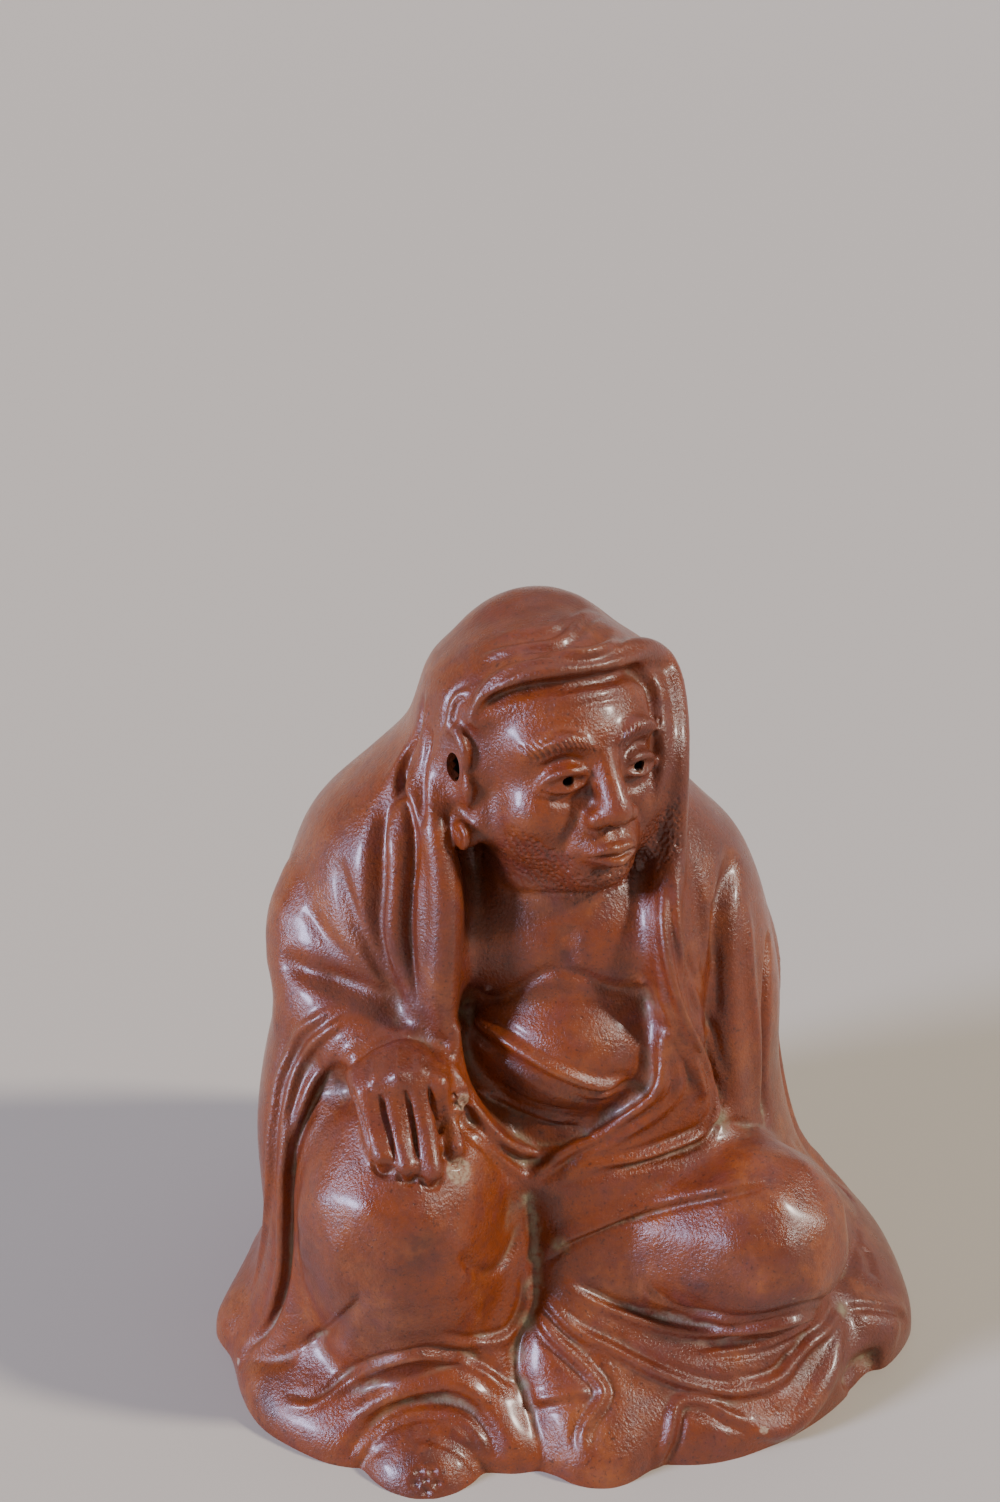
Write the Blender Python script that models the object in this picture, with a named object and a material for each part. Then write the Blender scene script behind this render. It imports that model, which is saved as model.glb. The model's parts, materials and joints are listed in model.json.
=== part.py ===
# Statue of a seated, hooded monk in unglazed stoneware, modelled as one solid.
# Metres, +Z up. The monk faces -Y, and the origin is at the middle of the underside.

import math

import bmesh
import bpy
import numpy as np
from mathutils import Matrix, Vector
from mathutils.bvhtree import BVHTree

# Driving dimension. Every place below is in parts, and the figure is 150 parts high.
FIGURE_HEIGHT = 0.150

# The fired clay's red-brown, as linear light.
STONEWARE_COLOUR = (0.21, 0.062, 0.031, 1.0)

# How fine the clay is while it is worked, and how many flat facets the finished solid keeps.
ROUGH_GRAIN = 1.6
FINE_GRAIN = 0.8
FACETS = 9900

# The thinnest stroke that those facets can hold, as a half width in parts.
THINNEST = 1.15

# The viewpoint of the reference photograph, in parts, and its picture frame in pixels.
EYE = Vector((-13.0, -342.0, 283.0))
EYE_PITCH = math.radians(25.0)
EYE_FOCAL = 2042.0
PICTURE = (1000.0, 1502.0)

# The head: its centre, and how far it is turned to its left and tipped back, in degrees.
HEAD = Vector((-2, -1.5, 123))
HEAD_TURN = 27.0
HEAD_TIP = 12.0


def sight(px, py):
    """The direction from the eye through a pixel of the picture."""
    right = px - PICTURE[0] / 2
    up = PICTURE[1] / 2 - py
    cos, sin = math.cos(EYE_PITCH), math.sin(EYE_PITCH)
    return Vector((right, EYE_FOCAL * cos + up * sin, up * cos - EYE_FOCAL * sin))


def seen(px, py, depth):
    """The point seen at a pixel, on the upright plane at y = depth, in parts."""
    line = sight(px, py)
    return EYE + line * ((depth - EYE.y) / line.y)


def head_frame():
    """From the head's own frame, its face towards -Y, to the figure's."""
    turn = Matrix.Rotation(math.radians(HEAD_TURN), 4, "Z")
    tip = Matrix.Rotation(math.radians(-HEAD_TIP), 4, "X")
    return Matrix.Translation(HEAD) @ turn @ tip


def through(points, count):
    """A smooth curve through the points, as count evenly spaced points."""
    points = [np.array(p, float) for p in points]
    if len(points) == 2:
        fine = [points[0] + (points[1] - points[0]) * t for t in np.linspace(0, 1, 9)]
    else:
        ends = [2 * points[0] - points[1], *points, 2 * points[-1] - points[-2]]
        fine = []
        for a, b, c, d in zip(ends, ends[1:], ends[2:], ends[3:]):
            for t in np.linspace(0, 1, 12, endpoint=False):
                fine.append(
                    0.5 * (2 * b + (c - a) * t + (2 * a - 5 * b + 4 * c - d) * t**2
                           + (3 * b - a - 3 * c + d) * t**3)
                )
        fine.append(points[-1])
    fine = np.array(fine)
    run = np.concatenate([[0], np.cumsum(np.linalg.norm(np.diff(fine, axis=0), axis=1))])
    wanted = np.linspace(0, run[-1], count)
    return np.stack([np.interp(wanted, run, fine[:, i]) for i in range(fine.shape[1])], axis=1)


# Lumps of clay
def unit_ball(fineness):
    """The corners and facets of a ball of radius 1."""
    form = bmesh.new()
    bmesh.ops.create_icosphere(form, subdivisions=fineness, radius=1)
    corners = np.array([v.co[:] for v in form.verts])
    facets = [[v.index for v in f.verts] for f in form.faces]
    form.free()
    return corners, facets


COARSE_BALL = unit_ball(2)
ROUND_BALL = unit_ball(3)


def add_ball(clay, centre, radii, turn=(0, 0, 0), frame=Matrix.Identity(4), ball=ROUND_BALL):
    """A ball, or an egg with three radii, turned by degrees about x, y and z."""
    if not hasattr(radii, "__len__"):
        radii = (radii, radii, radii)
    spin = Matrix.Rotation(math.radians(turn[2]), 4, "Z")
    spin = spin @ Matrix.Rotation(math.radians(turn[1]), 4, "Y")
    spin = spin @ Matrix.Rotation(math.radians(turn[0]), 4, "X")
    place = np.array(frame @ Matrix.Translation(Vector(centre)) @ spin @ Matrix.Diagonal((*radii, 1)))
    corners, facets = ball
    clay.append((corners @ place[:3, :3].T + place[:3, 3], facets))


def add_roll(clay, points, radii, frame=Matrix.Identity(4), spacing=0.35):
    """A roll of clay along a smooth curve, its radius running through the given radii."""
    rough = through(points, 60)
    length = np.linalg.norm(np.diff(rough, axis=0), axis=1).sum()
    count = max(3, int(length / (min(radii) * spacing)) + 1)
    spots = through(points, count)
    sizes = np.interp(np.linspace(0, len(radii) - 1, count), range(len(radii)), radii)
    for spot, size in zip(spots, sizes):
        add_ball(clay, spot, size, frame=frame, ball=COARSE_BALL)


def add_skin(clay, loops):
    """A closed skin over a row of loops that have the same number of points."""
    around = len(loops[0])
    facets = []
    for level in range(len(loops) - 1):
        low, high = level * around, (level + 1) * around
        for i in range(around):
            j = (i + 1) % around
            facets.append([low + i, low + j, high + j, high + i])
    facets.append(list(range(around))[::-1])
    facets.append(list(range((len(loops) - 1) * around, len(loops) * around)))
    clay.append((np.array([point for loop in loops for point in loop], float), facets))


def mesh_of(clay, name="clay"):
    """All the lumps of clay in one mesh."""
    corners, facets, first = [], [], 0
    for lump_corners, lump_facets in clay:
        corners.append(lump_corners)
        facets.extend([first + i for i in facet] for facet in lump_facets)
        first += len(lump_corners)
    mesh = bpy.data.meshes.new(name)
    mesh.from_pydata(np.concatenate(corners), [], facets)
    mesh.update()
    return mesh


def corners_of(mesh):
    corners = np.empty(len(mesh.vertices) * 3)
    mesh.vertices.foreach_get("co", corners)
    return corners.reshape(-1, 3)


def lump_of(mesh):
    """A mesh as one lump of clay."""
    return corners_of(mesh), [tuple(face.vertices) for face in mesh.polygons]


def worked(mesh, *steps):
    """The mesh after modifiers, each given as a type and its settings."""
    lump = bpy.data.objects.new("lump", mesh)
    bpy.context.scene.collection.objects.link(lump)
    for kind, settings in steps:
        modifier = lump.modifiers.new(kind, kind)
        for name, value in settings.items():
            setattr(modifier, name, value)
    bpy.context.view_layer.update()
    graph = bpy.context.evaluated_depsgraph_get()
    made = bpy.data.meshes.new_from_object(lump.evaluated_get(graph))
    bpy.data.objects.remove(lump)
    bpy.data.meshes.remove(mesh)
    return made


def fused(mesh, grain, rounds):
    """All the lumps pressed into one skin, then rubbed smooth."""
    return worked(
        mesh,
        ("REMESH", {"mode": "VOXEL", "voxel_size": grain, "adaptivity": 0}),
        ("SMOOTH", {"factor": 0.5, "iterations": rounds}),
    )


def cut_away(mesh, clay):
    """The mesh without the space that the lumps of clay fill."""
    cutter = bpy.data.objects.new("cutter", mesh_of(clay, "cutter"))
    bpy.context.scene.collection.objects.link(cutter)
    made = worked(mesh, ("BOOLEAN", {"operation": "DIFFERENCE", "object": cutter, "solver": "EXACT"}))
    bpy.data.objects.remove(cutter)
    return made


# Looks: ways to find a place on the skin. Each gives the place and the skin's direction there.
def on_picture(tree, spot):
    """The place seen at a pixel of the picture."""
    return tree.ray_cast(EYE, sight(*spot).normalized())[:2]


def on_side(tree, spot):
    """The place at a compass angle, 0 at the front and 90 at the viewer's right, and a height."""
    angle, height = math.radians(spot[0]), spot[1]
    out = Vector((math.sin(angle), -math.cos(angle), 0))
    return tree.ray_cast(Vector((0, 2, height)) + out * 200, -out)[:2]


def on_face(tree, spot):
    """The place straight before a point of the face, given across and up from the head's centre."""
    frame = head_frame()
    start = frame @ Vector((spot[0], -60, spot[1]))
    return tree.ray_cast(start, (frame.to_3x3() @ Vector((0, 1, 0))).normalized())[:2]


def tree_of(mesh):
    return BVHTree.FromPolygons(corners_of(mesh).tolist(), [tuple(p.vertices) for p in mesh.polygons])


def laid(tree, look, spots, lift):
    """Points on the skin at the spots, lifted off it a little."""
    found = [look(tree, spot) for spot in spots]
    return [place + normal * lift for place, normal in found if place]


def two(value):
    """A value for the left and one for the right of a stroke, from one or two."""
    return value if hasattr(value, "__len__") else (value, value)


def press(mesh, strokes):
    """Draws every stroke on the skin.

    A stroke is a look, its spots, a half width, a height (a groove below 0) and the depth of the
    crease along its edge. A pair of widths gives its left and its right flank as it is drawn, so
    that a wide flank makes the edge of an overlapping cloth. A single crease is on the left, or
    on the right below 0, and a pair is one on each side.
    """
    tree = tree_of(mesh)
    places = corners_of(mesh)
    normals = np.empty(len(places) * 3)
    mesh.vertex_normals.foreach_get("vector", normals)
    normals = normals.reshape(-1, 3)
    push = np.zeros(len(places))
    for look, spots, width, height, crease in strokes:
        found = [look(tree, spot) for spot in spots]
        found = [(place, normal) for place, normal in found if place]
        if len(found) < 2:
            continue
        widths = [max(flank, THINNEST) for flank in two(width)]
        if not hasattr(crease, "__len__"):
            crease = (max(crease, 0), max(-crease, 0))
        both = through([(*place, *normal) for place, normal in found], 10 * len(found))
        line, facing = both[:, :3], both[:, 3:]
        along = np.gradient(line, axis=0)
        along /= np.linalg.norm(along, axis=1)[:, None]
        left = np.cross(facing, along)
        step = np.diff(line, axis=0)
        reach = max(widths) * 3.2
        near = np.all((places > line.min(0) - reach) & (places < line.max(0) + reach), axis=1)
        near = np.nonzero(near)[0]
        if not len(near):
            continue
        far = np.full(len(near), np.inf)
        closest = np.zeros(len(near), int)
        share = np.zeros(len(near))
        gap = np.zeros((len(near), 3))
        for i, piece in enumerate(step):
            off = places[near] - line[i]
            part = np.clip(off @ piece / (piece @ piece), 0, 1)
            off -= part[:, None] * piece
            distance = np.einsum("ij,ij->i", off, off)
            better = distance < far
            far[better] = distance[better]
            closest[better] = i
            share[better] = part[better]
            gap[better] = off[better]
        beside = left[closest] * (1 - share)[:, None] + left[closest + 1] * share[:, None]
        front = facing[closest] * (1 - share)[:, None] + facing[closest + 1] * share[:, None]
        signed = np.sqrt(far) * np.sign(np.einsum("ij,ij->i", gap, beside))
        agree = np.einsum("ij,ij->i", normals[near], front)
        agree = np.clip((agree + 0.1) / 0.5, 0, 1)
        run = (closest + share) / len(step)
        taper = np.clip(np.minimum(run, 1 - run) / 0.22, 0, 1)
        taper = taper * (2 - taper)
        flank = np.where(signed > 0, widths[0], widths[1])
        shape = height * np.exp(-((signed / flank) ** 2))
        for side, depth in ((1, crease[0]), (-1, crease[1])):
            if depth:
                thin = min(widths)
                beyond = signed * side - 1.5 * thin
                shape -= depth * np.exp(-((beyond / (0.7 * thin)) ** 2))
        push[near] += shape * taper * agree
    places = places + normals * push[:, None]
    mesh.vertices.foreach_set("co", places.ravel())
    mesh.update()


def keep_largest(form):
    """Drops every loose inner bubble, and keeps the one outer skin."""
    unseen = set(form.verts)
    shells = []
    while unseen:
        shell = [unseen.pop()]
        for vert in shell:
            for edge in vert.link_edges:
                other = edge.other_vert(vert)
                if other in unseen:
                    unseen.remove(other)
                    shell.append(other)
        shells.append(shell)
    shells.sort(key=len)
    for shell in shells[:-1]:
        bmesh.ops.delete(form, geom=shell, context="VERTS")


# The cloak's outline from the floor up: height, left, right, front, back, and where it is widest.
LEFT_SQUARENESS = 2.4
RIGHT_SQUARENESS = 2.1
CLOAK = [
    (-6, -69, 69, -53, 56, -10),
    (0, -70.5, 70.5, -55.5, 57, -10),
    (3, -71, 71, -56, 58, -10),
    (7, -66, 68, -52.5, 58, -8),
    (15, -58, 60, -45, 57, -2),
    (30, -57, 49.5, -36, 56, 4),
    (50, -57.5, 44, -30, 53, 10),
    (70, -57.5, 43, -27, 49, 12),
    (88, -56, 39, -24, 44, 12),
    (100, -52.5, 34, -21, 39, 12),
    (108, -48, 27, -18, 36, 10),
    (116, -39.5, 20, -16, 34, 9),
    (124, -31.5, 19.5, -15, 33, 9),
    (132, -28.5, 19.5, -15, 32, 9),
    (138, -26, 17, -15, 30, 9),
    (146, -16, 5, -10, 22, 8),
]

# The fall of the right sleeve beside the raised knee, in the same way.
SLEEVE_FALL = [
    (-6, -67, -30, -38, 26, -10),
    (3, -68, -30, -38, 26, -10),
    (12, -63, -30, -36, 26, -8),
    (30, -60, -30, -33, 25, -8),
    (50, -60.5, -30, -30, 24, -7),
    (66, -58, -33, -23, 20, -5),
    (78, -54, -36, -14, 16, -2),
]

# The wavy hem on the floor: what shows of it in the picture, and round the back in parts.
HEM_RISE = 11.0
HEM_IN_PICTURE = [
    (213, 1328), (222, 1347), (235, 1355), (238, 1385), (258, 1425), (300, 1452), (345, 1468), (430, 1470),
    (497, 1473), (522, 1476), (545, 1466), (562, 1482), (602, 1490), (632, 1483), (660, 1464), (690, 1466),
    (740, 1458), (800, 1432), (838, 1405), (866, 1374), (884, 1369), (906, 1344), (912, 1322), (904, 1290),
]
HEM_BEHIND = [
    (69.5, 14), (63, 31), (60.5, 40), (48, 49), (38, 57), (26, 55.5), (10, 59), (-4, 57.5), (-20, 59.5),
    (-34, 54), (-46, 51), (-54, 41), (-62, 32), (-62, 20), (-67, 2),
]

# The opening of the hood and the cloak, as seen in the picture.
OPENING_BACK = 2
OPENING = [
    (478, 730), (505, 700), (540, 690), (600, 680), (640, 664), (660, 672),
    (668, 720), (662, 800), (650, 880), (650, 940), (657, 1010), (662, 1060),
    (640, 1110), (590, 1150), (530, 1178), (492, 1130), (466, 1080), (456, 1040),
    (461, 975), (465, 910), (462, 868), (448, 825), (440, 782), (445, 745), (458, 730),
]


def on_floor(px, py):
    """The point of the floor seen at a pixel."""
    line = sight(px, py)
    return EYE + line * (-EYE.z / line.z)


def hem_reach():
    """The hem's angles round the middle and how far it reaches at each."""
    round_it = [on_floor(*pixel)[:2] for pixel in HEM_IN_PICTURE] + HEM_BEHIND
    spots = through(round_it + round_it[:1], 400)[:-1]
    angles = np.arctan2(spots[:, 1], spots[:, 0])
    order = np.argsort(angles)
    return angles[order], np.linalg.norm(spots, axis=1)[order]


def ring_points(station, around=180, hem=None):
    """One level of the cloak: four quarter ovals that meet at its widest place.

    Near the floor it follows the waves of the hem, which die out above.
    """
    z, left, right, front, back, widest = station
    middle_x = (left + right) / 2
    points = []
    for i in range(around):
        turn = 2 * math.pi * i / around
        c, s = math.cos(turn), math.sin(turn)
        reach_x = right - middle_x if c > 0 else middle_x - left
        reach_y = back - widest if s > 0 else widest - front
        squareness = RIGHT_SQUARENESS if c > 0 else LEFT_SQUARENESS
        x = middle_x + reach_x * math.copysign(abs(c) ** (2 / squareness), c)
        y = widest + reach_y * math.copysign(abs(s) ** (2 / squareness), s)
        if hem:
            length = math.hypot(x, y)
            reach = np.interp(math.atan2(y, x), *hem, period=2 * math.pi)
            share = math.exp(-((max(z, 0) / HEM_RISE) ** 2))
            grown = length + (reach - length - 0.35 * max(z - 3, 0)) * share
            x, y = x * grown / length, y * grown / length
        points.append((x, y, z))
    return points


def opened_cloak():
    """The closed cloak, fused with the dome of the hood, with its front opening cut out."""
    wedge, cloak = [], []
    add_skin(wedge, [[seen(px, py, depth) for px, py in OPENING[::-1]] for depth in (OPENING_BACK, -100)])
    hem = hem_reach()
    add_skin(cloak, [ring_points(level, hem=hem) for level in through(CLOAK, 90)])
    add_skin(cloak, [ring_points(level) for level in through(SLEEVE_FALL, 30)])
    add_ball(cloak, (-3.5, 4, 122), (24.5, 27, 27.5))
    add_ball(cloak, (-6, 14, 125.6), (21, 20, 24.6))
    whole = worked(
        mesh_of(cloak),
        ("REMESH", {"mode": "VOXEL", "voxel_size": ROUGH_GRAIN, "adaptivity": 0}),
    )
    return cut_away(whole, wedge)


def add_legs(clay):
    add_roll(clay, [(-20, 5, 42), (-31, -27, 48), (-31, -29, 28), (-29, -25, 5)], [20, 20, 20.5, 18])
    add_roll(clay, [(0, -4, 25), (18, -17, 29), (35, -24, 31.5)], [17, 18.5, 20])
    add_roll(clay, [(42, -26, 9), (22, -35, 9), (-2, -36, 9)], [12, 12, 12])


def add_right_arm(clay):
    """The forearm in its sleeve, from the elbow to the wrist."""
    add_roll(clay, [(-37, 8, 96), (-44, 2, 86), (-44, -8, 75)], [15, 15, 12.5])
    add_roll(clay, [(-46, -8, 72), seen(352, 1030, -16), seen(388, 1052, -21)], [11.5, 9.5, 7])


def add_body(clay):
    """The bare chest and belly, and the lap behind the crossing of the cloak."""
    add_ball(clay, seen(563, 922, 1), (28, 20, 20))
    add_ball(clay, seen(512, 942, -8), (15, 9, 11))
    add_ball(clay, seen(622, 940, -8), (14, 9, 11))
    add_ball(clay, seen(567, 1020, -5), (21, 22, 16))
    add_ball(clay, seen(538, 1036, -2), (22, 19, 15))
    add_ball(clay, seen(558, 1092, -4), (26, 22, 15))
    add_ball(clay, seen(478, 960, 4), (10, 14, 22))
    add_ball(clay, seen(468, 850, 5), (9, 11, 16))


def add_hood_edge(clay, tree):
    """The rolled edge of the hood over the brow, and the rounded edges of its two falls."""
    brow = [(474, 722), (490, 692), (520, 676), (560, 668), (605, 660), (640, 652), (662, 664),
            (673, 700), (676, 760), (673, 850), (667, 930), (673, 1000), (684, 1050)]
    add_roll(clay, laid(tree, on_picture, brow, 0.1),
             [1.6, 2.6, 3, 3, 2.9, 2.8, 2.7, 2.6, 2.6, 2.8, 3, 2.8, 2.2])
    left = [(424, 740), (426, 782), (432, 825), (444, 868), (447, 912), (444, 977), (442, 1030)]
    add_roll(clay, laid(tree, on_picture, left, -1.4), [1.6, 2.2, 2.6, 3, 3, 3, 2.6])
    lip = [(452, 1030), (458, 1075), (474, 1110), (498, 1138), (530, 1154), (562, 1152), (590, 1140)]
    add_roll(clay, laid(tree, on_picture, lip, 0.2), [1.6, 2, 2.1, 2.1, 2, 1.8, 1.5])
    crossing = [(664, 1040), (662, 1085), (640, 1112), (605, 1134), (570, 1152), (536, 1172)]
    add_roll(clay, laid(tree, on_picture, crossing, 0.2), [1.5, 1.9, 1.9, 1.8, 1.6, 1.2])


def add_head(clay):
    """The large forms of the head: skull, jaw, chin, cheeks and the ridge of the brow."""
    frame = head_frame()
    add_ball(clay, (0, 2, 5), (19.5, 20.5, 18.5), frame=frame)
    add_ball(clay, (0, -1.5, -8), (18, 15.5, 14.5), frame=frame)
    add_ball(clay, (0, 4, -18), (15, 14, 14), frame=frame)
    add_ball(clay, (0, -12, -17.5), (7, 5.5, 6), frame=frame)
    add_ball(clay, (0, -13, -12.5), (8.5, 6, 6), frame=frame)
    add_roll(clay, [(-12, -12.5, 6.5), (0, -16, 6.5), (12, -12.5, 6.5)], [3, 3.4, 3], frame=frame)
    add_roll(clay, [(0, -15.5, 6), (0, -17.5, -6.5)], [2.6, 4], frame=frame)
    for side in (-1, 1):
        add_ball(clay, (side * 8.5, -8, -5.5), (8, 8, 7.5), frame=frame)


def add_features(clay):
    """Brows, eyes with their lids, nose, lips and ears."""
    frame = head_frame()
    add_roll(clay, [(0, -18, 4.5), (0, -20.2, -1), (0, -22.4, -6.3)], [1.7, 1.9, 2.8], frame=frame)
    add_roll(clay, [(-5, -18.4, -14.0), (0, -20.2, -13.3), (5, -18.4, -14.0)], [0.8, 1.4, 0.8],
             frame=frame)
    add_roll(clay, [(-4.4, -18.2, -15.5), (0, -19.6, -16.2), (4.4, -18.2, -15.5)], [0.8, 1.5, 0.8],
             frame=frame)
    for side in (-1, 1):
        add_roll(clay, [(side * 2.6, -18, 6.4), (side * 7, -17.8, 8), (side * 12.6, -14.2, 6.2)],
                 [1.2, 1.6, 0.9], frame=frame)
        add_ball(clay, (side * 7, -13.4, 1.2), (4.4, 4.4, 3.6), frame=frame)
        add_roll(clay, [(side * 3.2, -17.4, 0.6), (side * 6.8, -18.2, 2.8), (side * 11, -15.4, 1)],
                 [0.6, 0.8, 0.6], frame=frame)
        add_roll(clay, [(side * 3.2, -17.4, 0.4), (side * 6.8, -17.7, -1.4), (side * 11, -15.4, 0.6)],
                 [0.5, 0.7, 0.5], frame=frame)
        add_ball(clay, (side * 3.0, -19.8, -7.4), (2.2, 2.5, 2.0), frame=frame)
        add_ear(clay, side, frame)


def add_ear(clay, side, frame):
    """A long-lobed ear: its rim, its bowl and the ring in its lobe."""
    rim = [(19.2, -2.5, 6), (20.8, -0.5, 9.5), (21.8, 3, 9), (21.8, 5, 4), (21, 4, -2), (20, 1.5, -7),
           (19.2, -0.5, -10)]
    rim = [(side * x, y, z) for x, y, z in rim]
    add_roll(clay, rim, [1.2, 1.3, 1.4, 1.4, 1.5, 2.0, 2.4], frame=frame)
    add_ball(clay, (side * 18.6, 1.5, 2), (1.6, 4, 6), frame=frame)


# The fingers of the right hand in the picture: knuckle, middle and tip, and the half width.
FINGERS = [
    ((365, 1092), (376, 1135), (383, 1157), 2.6),
    ((391, 1088), (400, 1135), (407, 1167), 2.6),
    ((415, 1083), (424, 1135), (431, 1172), 2.55),
    ((438, 1083), (447, 1120), (454, 1149), 2.4),
]


def add_hand(clay, tree):
    """The right hand on the raised knee: its back, as a slab of balls, and four fingers."""
    wrist = through([seen(364, 1050, -22), seen(398, 1038, -21), seen(432, 1050, -21)], 5)
    knuckles = through([seen(366, 1088, -31.5), seen(402, 1080, -32.5), seen(438, 1078, -30.5)], 5)
    for share in np.linspace(0, 1, 7):
        for low, high in zip(wrist, knuckles):
            add_ball(clay, low + (high - low) * share, 4.8 - 1.5 * share)
    for knuckle, middle, tip, size in FINGERS:
        points = [seen(*knuckle, -33), *laid(tree, on_picture, [middle, tip], size * 0.42)]
        add_roll(clay, points, [size, size * 0.95, size * 0.82])
    add_roll(clay, [seen(446, 1074, -28), seen(456, 1090, -30), seen(458, 1104, -31)], [2.8, 2.0, 1.5])


def add_shoe(clay):
    """The toe of the right shoe, and the lip of the hem that lies over it."""
    add_ball(clay, (-27, -44, -2), (14, 16.8, 11))
    lip = [seen(300, 1448, -46), seen(323, 1439, -46), seen(350, 1422, -46.5), seen(392, 1397, -46),
           seen(432, 1384, -45), seen(456, 1382, -45), seen(476, 1394, -46), seen(496, 1417, -47),
           seen(516, 1443, -49), seen(540, 1463, -51), seen(556, 1474, -53)]
    add_roll(clay, lip, [1.6, 2.6, 2.8, 2.8, 2.8, 2.8, 2.7, 2.6, 2.4, 2.2, 1.8])


def add_worn_ridge(clay, tree):
    """The broad worn roll of the hem beside the folded knee."""
    ridge = [(842, 1322), (836, 1340), (831, 1364), (820, 1388), (804, 1411), (783, 1428), (757, 1431)]
    add_roll(clay, laid(tree, on_picture, ridge, -0.9), [1.4, 2.4, 2.9, 3, 3, 2.8, 1.8])


# Broad hollows and swells, drawn before the folds.
HOLLOWS = [
    # Under the rolled edge of the hood.
    (on_picture, [(463, 740), (478, 716), (500, 699), (530, 690), (565, 685), (602, 679), (634, 672),
                  (651, 686), (657, 716), (655, 760), (650, 810)], 1.1, -2.2, 0),
    # The deep grooves beside the falls of the hood.
    (on_picture, [(412, 745), (392, 790), (380, 835), (378, 885), (376, 930), (388, 975), (407, 1012)],
                  2.0, -2.6, 0),
    (on_picture, [(733, 850), (726, 905), (722, 974), (722, 1055), (730, 1120)], 2.4, -3.3, 0),
    (on_picture, [(690, 860), (702, 930), (712, 1000), (722, 1090)], 1.8, -1.2, 0),
    # The crease between the upper arm and the sleeve of the forearm.
    (on_picture, [(262, 930), (280, 958), (305, 971), (330, 978), (356, 988), (384, 1003), (410, 1030)],
                  2.2, -2.0, 0),
    # Between the legs, down to the notch of the hem.
    (on_picture, [(528, 1180), (535, 1230), (535, 1288), (520, 1335), (516, 1375), (530, 1415),
                  (546, 1462)], 3.6, -2.8, 0),
    (on_picture, [(580, 1310), (640, 1338), (700, 1345), (770, 1342)], 2.4, -0.9, 0),
    (on_picture, [(600, 1362), (660, 1392), (720, 1404), (780, 1400)], 2.6, -0.8, 0),
    # Under the folded knee, and the hollow of the right corner.
    (on_picture, [(560, 1272), (610, 1300), (670, 1316), (747, 1322), (812, 1308), (846, 1270),
                  (854, 1215)], 1.8, -1.6, 0),
    (on_picture, [(846, 1392), (856, 1372), (882, 1360)], 2.6, -2.6, 0),
    (on_picture, [(852, 1318), (876, 1320), (900, 1328)], 3.0, 1.2, 0),
    # Over the shoe, between it and the lip of the hem.
    (on_picture, [(346, 1462), (360, 1440), (384, 1418), (414, 1406), (446, 1404), (470, 1414),
                  (488, 1438), (496, 1462)], 1.6, -2.0, 0),
    # Between the drape and the raised knee.
    (on_picture, [(340, 1078), (314, 1104), (298, 1130), (288, 1165), (286, 1205), (285, 1250),
                  (275, 1305), (240, 1350)], 1.4, -2.0, 0),
    (on_picture, [(300, 1352), (270, 1360), (238, 1360)], 1.6, -1.2, 0),
]

HOOD_FOLDS = [
    # Pleats over the crown, the groove above the brow roll, a loop above the ear.
    (on_picture, [(480, 660), (506, 650), (532, 646), (554, 643), (570, 633), (579, 618), (592, 611),
                  (612, 613), (630, 626)], 1.17, 0.6, (0.5, 0.5)),
    (on_picture, [(490, 640), (512, 633), (538, 629), (560, 622), (576, 612)], 1.17, 0.35, -0.4),
    (on_picture, [(500, 656), (540, 655), (583, 651), (605, 645), (618, 634), (632, 629)], 1.04, 0.55,
                  (0.3, 0.6)),
    (on_picture, [(478, 700), (494, 682), (520, 666), (550, 661), (590, 660), (620, 652), (645, 643)],
                  1.1, -0.9, 0),
    (on_picture, [(469, 691), (456, 697), (450, 713), (448, 734)], 0.91, 0.5, (0.6, 0.6)),
    # The band that falls from the hood on the viewer's left.
    (on_picture, [(424, 692), (420, 726), (408, 758), (404, 783), (407, 809), (412, 834), (413, 863),
                  (410, 895), (409, 927), (411, 959), (419, 1008)], 1.0, -1.8, 0),
    (on_picture, [(428, 692), (425, 722), (413, 752), (409, 783), (412, 806), (420, 830)],
                  1.04, 0.5, 0),
    (on_picture, [(430, 725), (424, 758), (421, 783), (422, 812), (425, 828)], 1.04, -1.2, 0),
    (on_picture, [(408, 745), (396, 790), (393, 830), (395, 868), (392, 933), (398, 985)], 1.9, 1.2, 0),
    (on_picture, [(434, 800), (436, 850), (437, 900), (435, 960), (434, 1020)], 3.0, 1.1, 0),
]

RIGHT_SLEEVE_FOLDS = [
    # Shoulder folds, the elbow, and the long drape down to the floor.
    (on_picture, [(338, 855), (353, 911), (369, 949), (388, 984), (407, 1019)], (1.2, 2.4), -1.1, 0),
    (on_picture, [(305, 905), (325, 935), (350, 962), (374, 985)], 1.6, -0.6, 0),
    (on_picture, [(350, 1001), (318, 1018), (296, 1036), (279, 1075), (272, 1113), (268, 1181),
                  (265, 1228), (256, 1275), (246, 1300)], 1.04, 0.7, (0.5, 0.3)),
    (on_picture, [(352, 1016), (322, 1035), (304, 1056), (294, 1076), (287, 1105), (281, 1157),
                  (278, 1200)], 1.04, 0.75, (0.5, 0.4)),
    (on_picture, [(338, 1050), (316, 1078), (303, 1105), (291, 1137), (284, 1181), (281, 1228),
                  (279, 1275), (266, 1322), (240, 1348)], 1.17, 0.9, (0.9, 0.4)),
    (on_picture, [(322, 1099), (309, 1117), (299, 1140), (292, 1166)], 0.91, 0.5, 0),
    (on_picture, [(338, 1076), (350, 1062), (372, 1046), (398, 1036), (424, 1040), (440, 1062)],
                  0.78, -0.9, 0),
]

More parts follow.
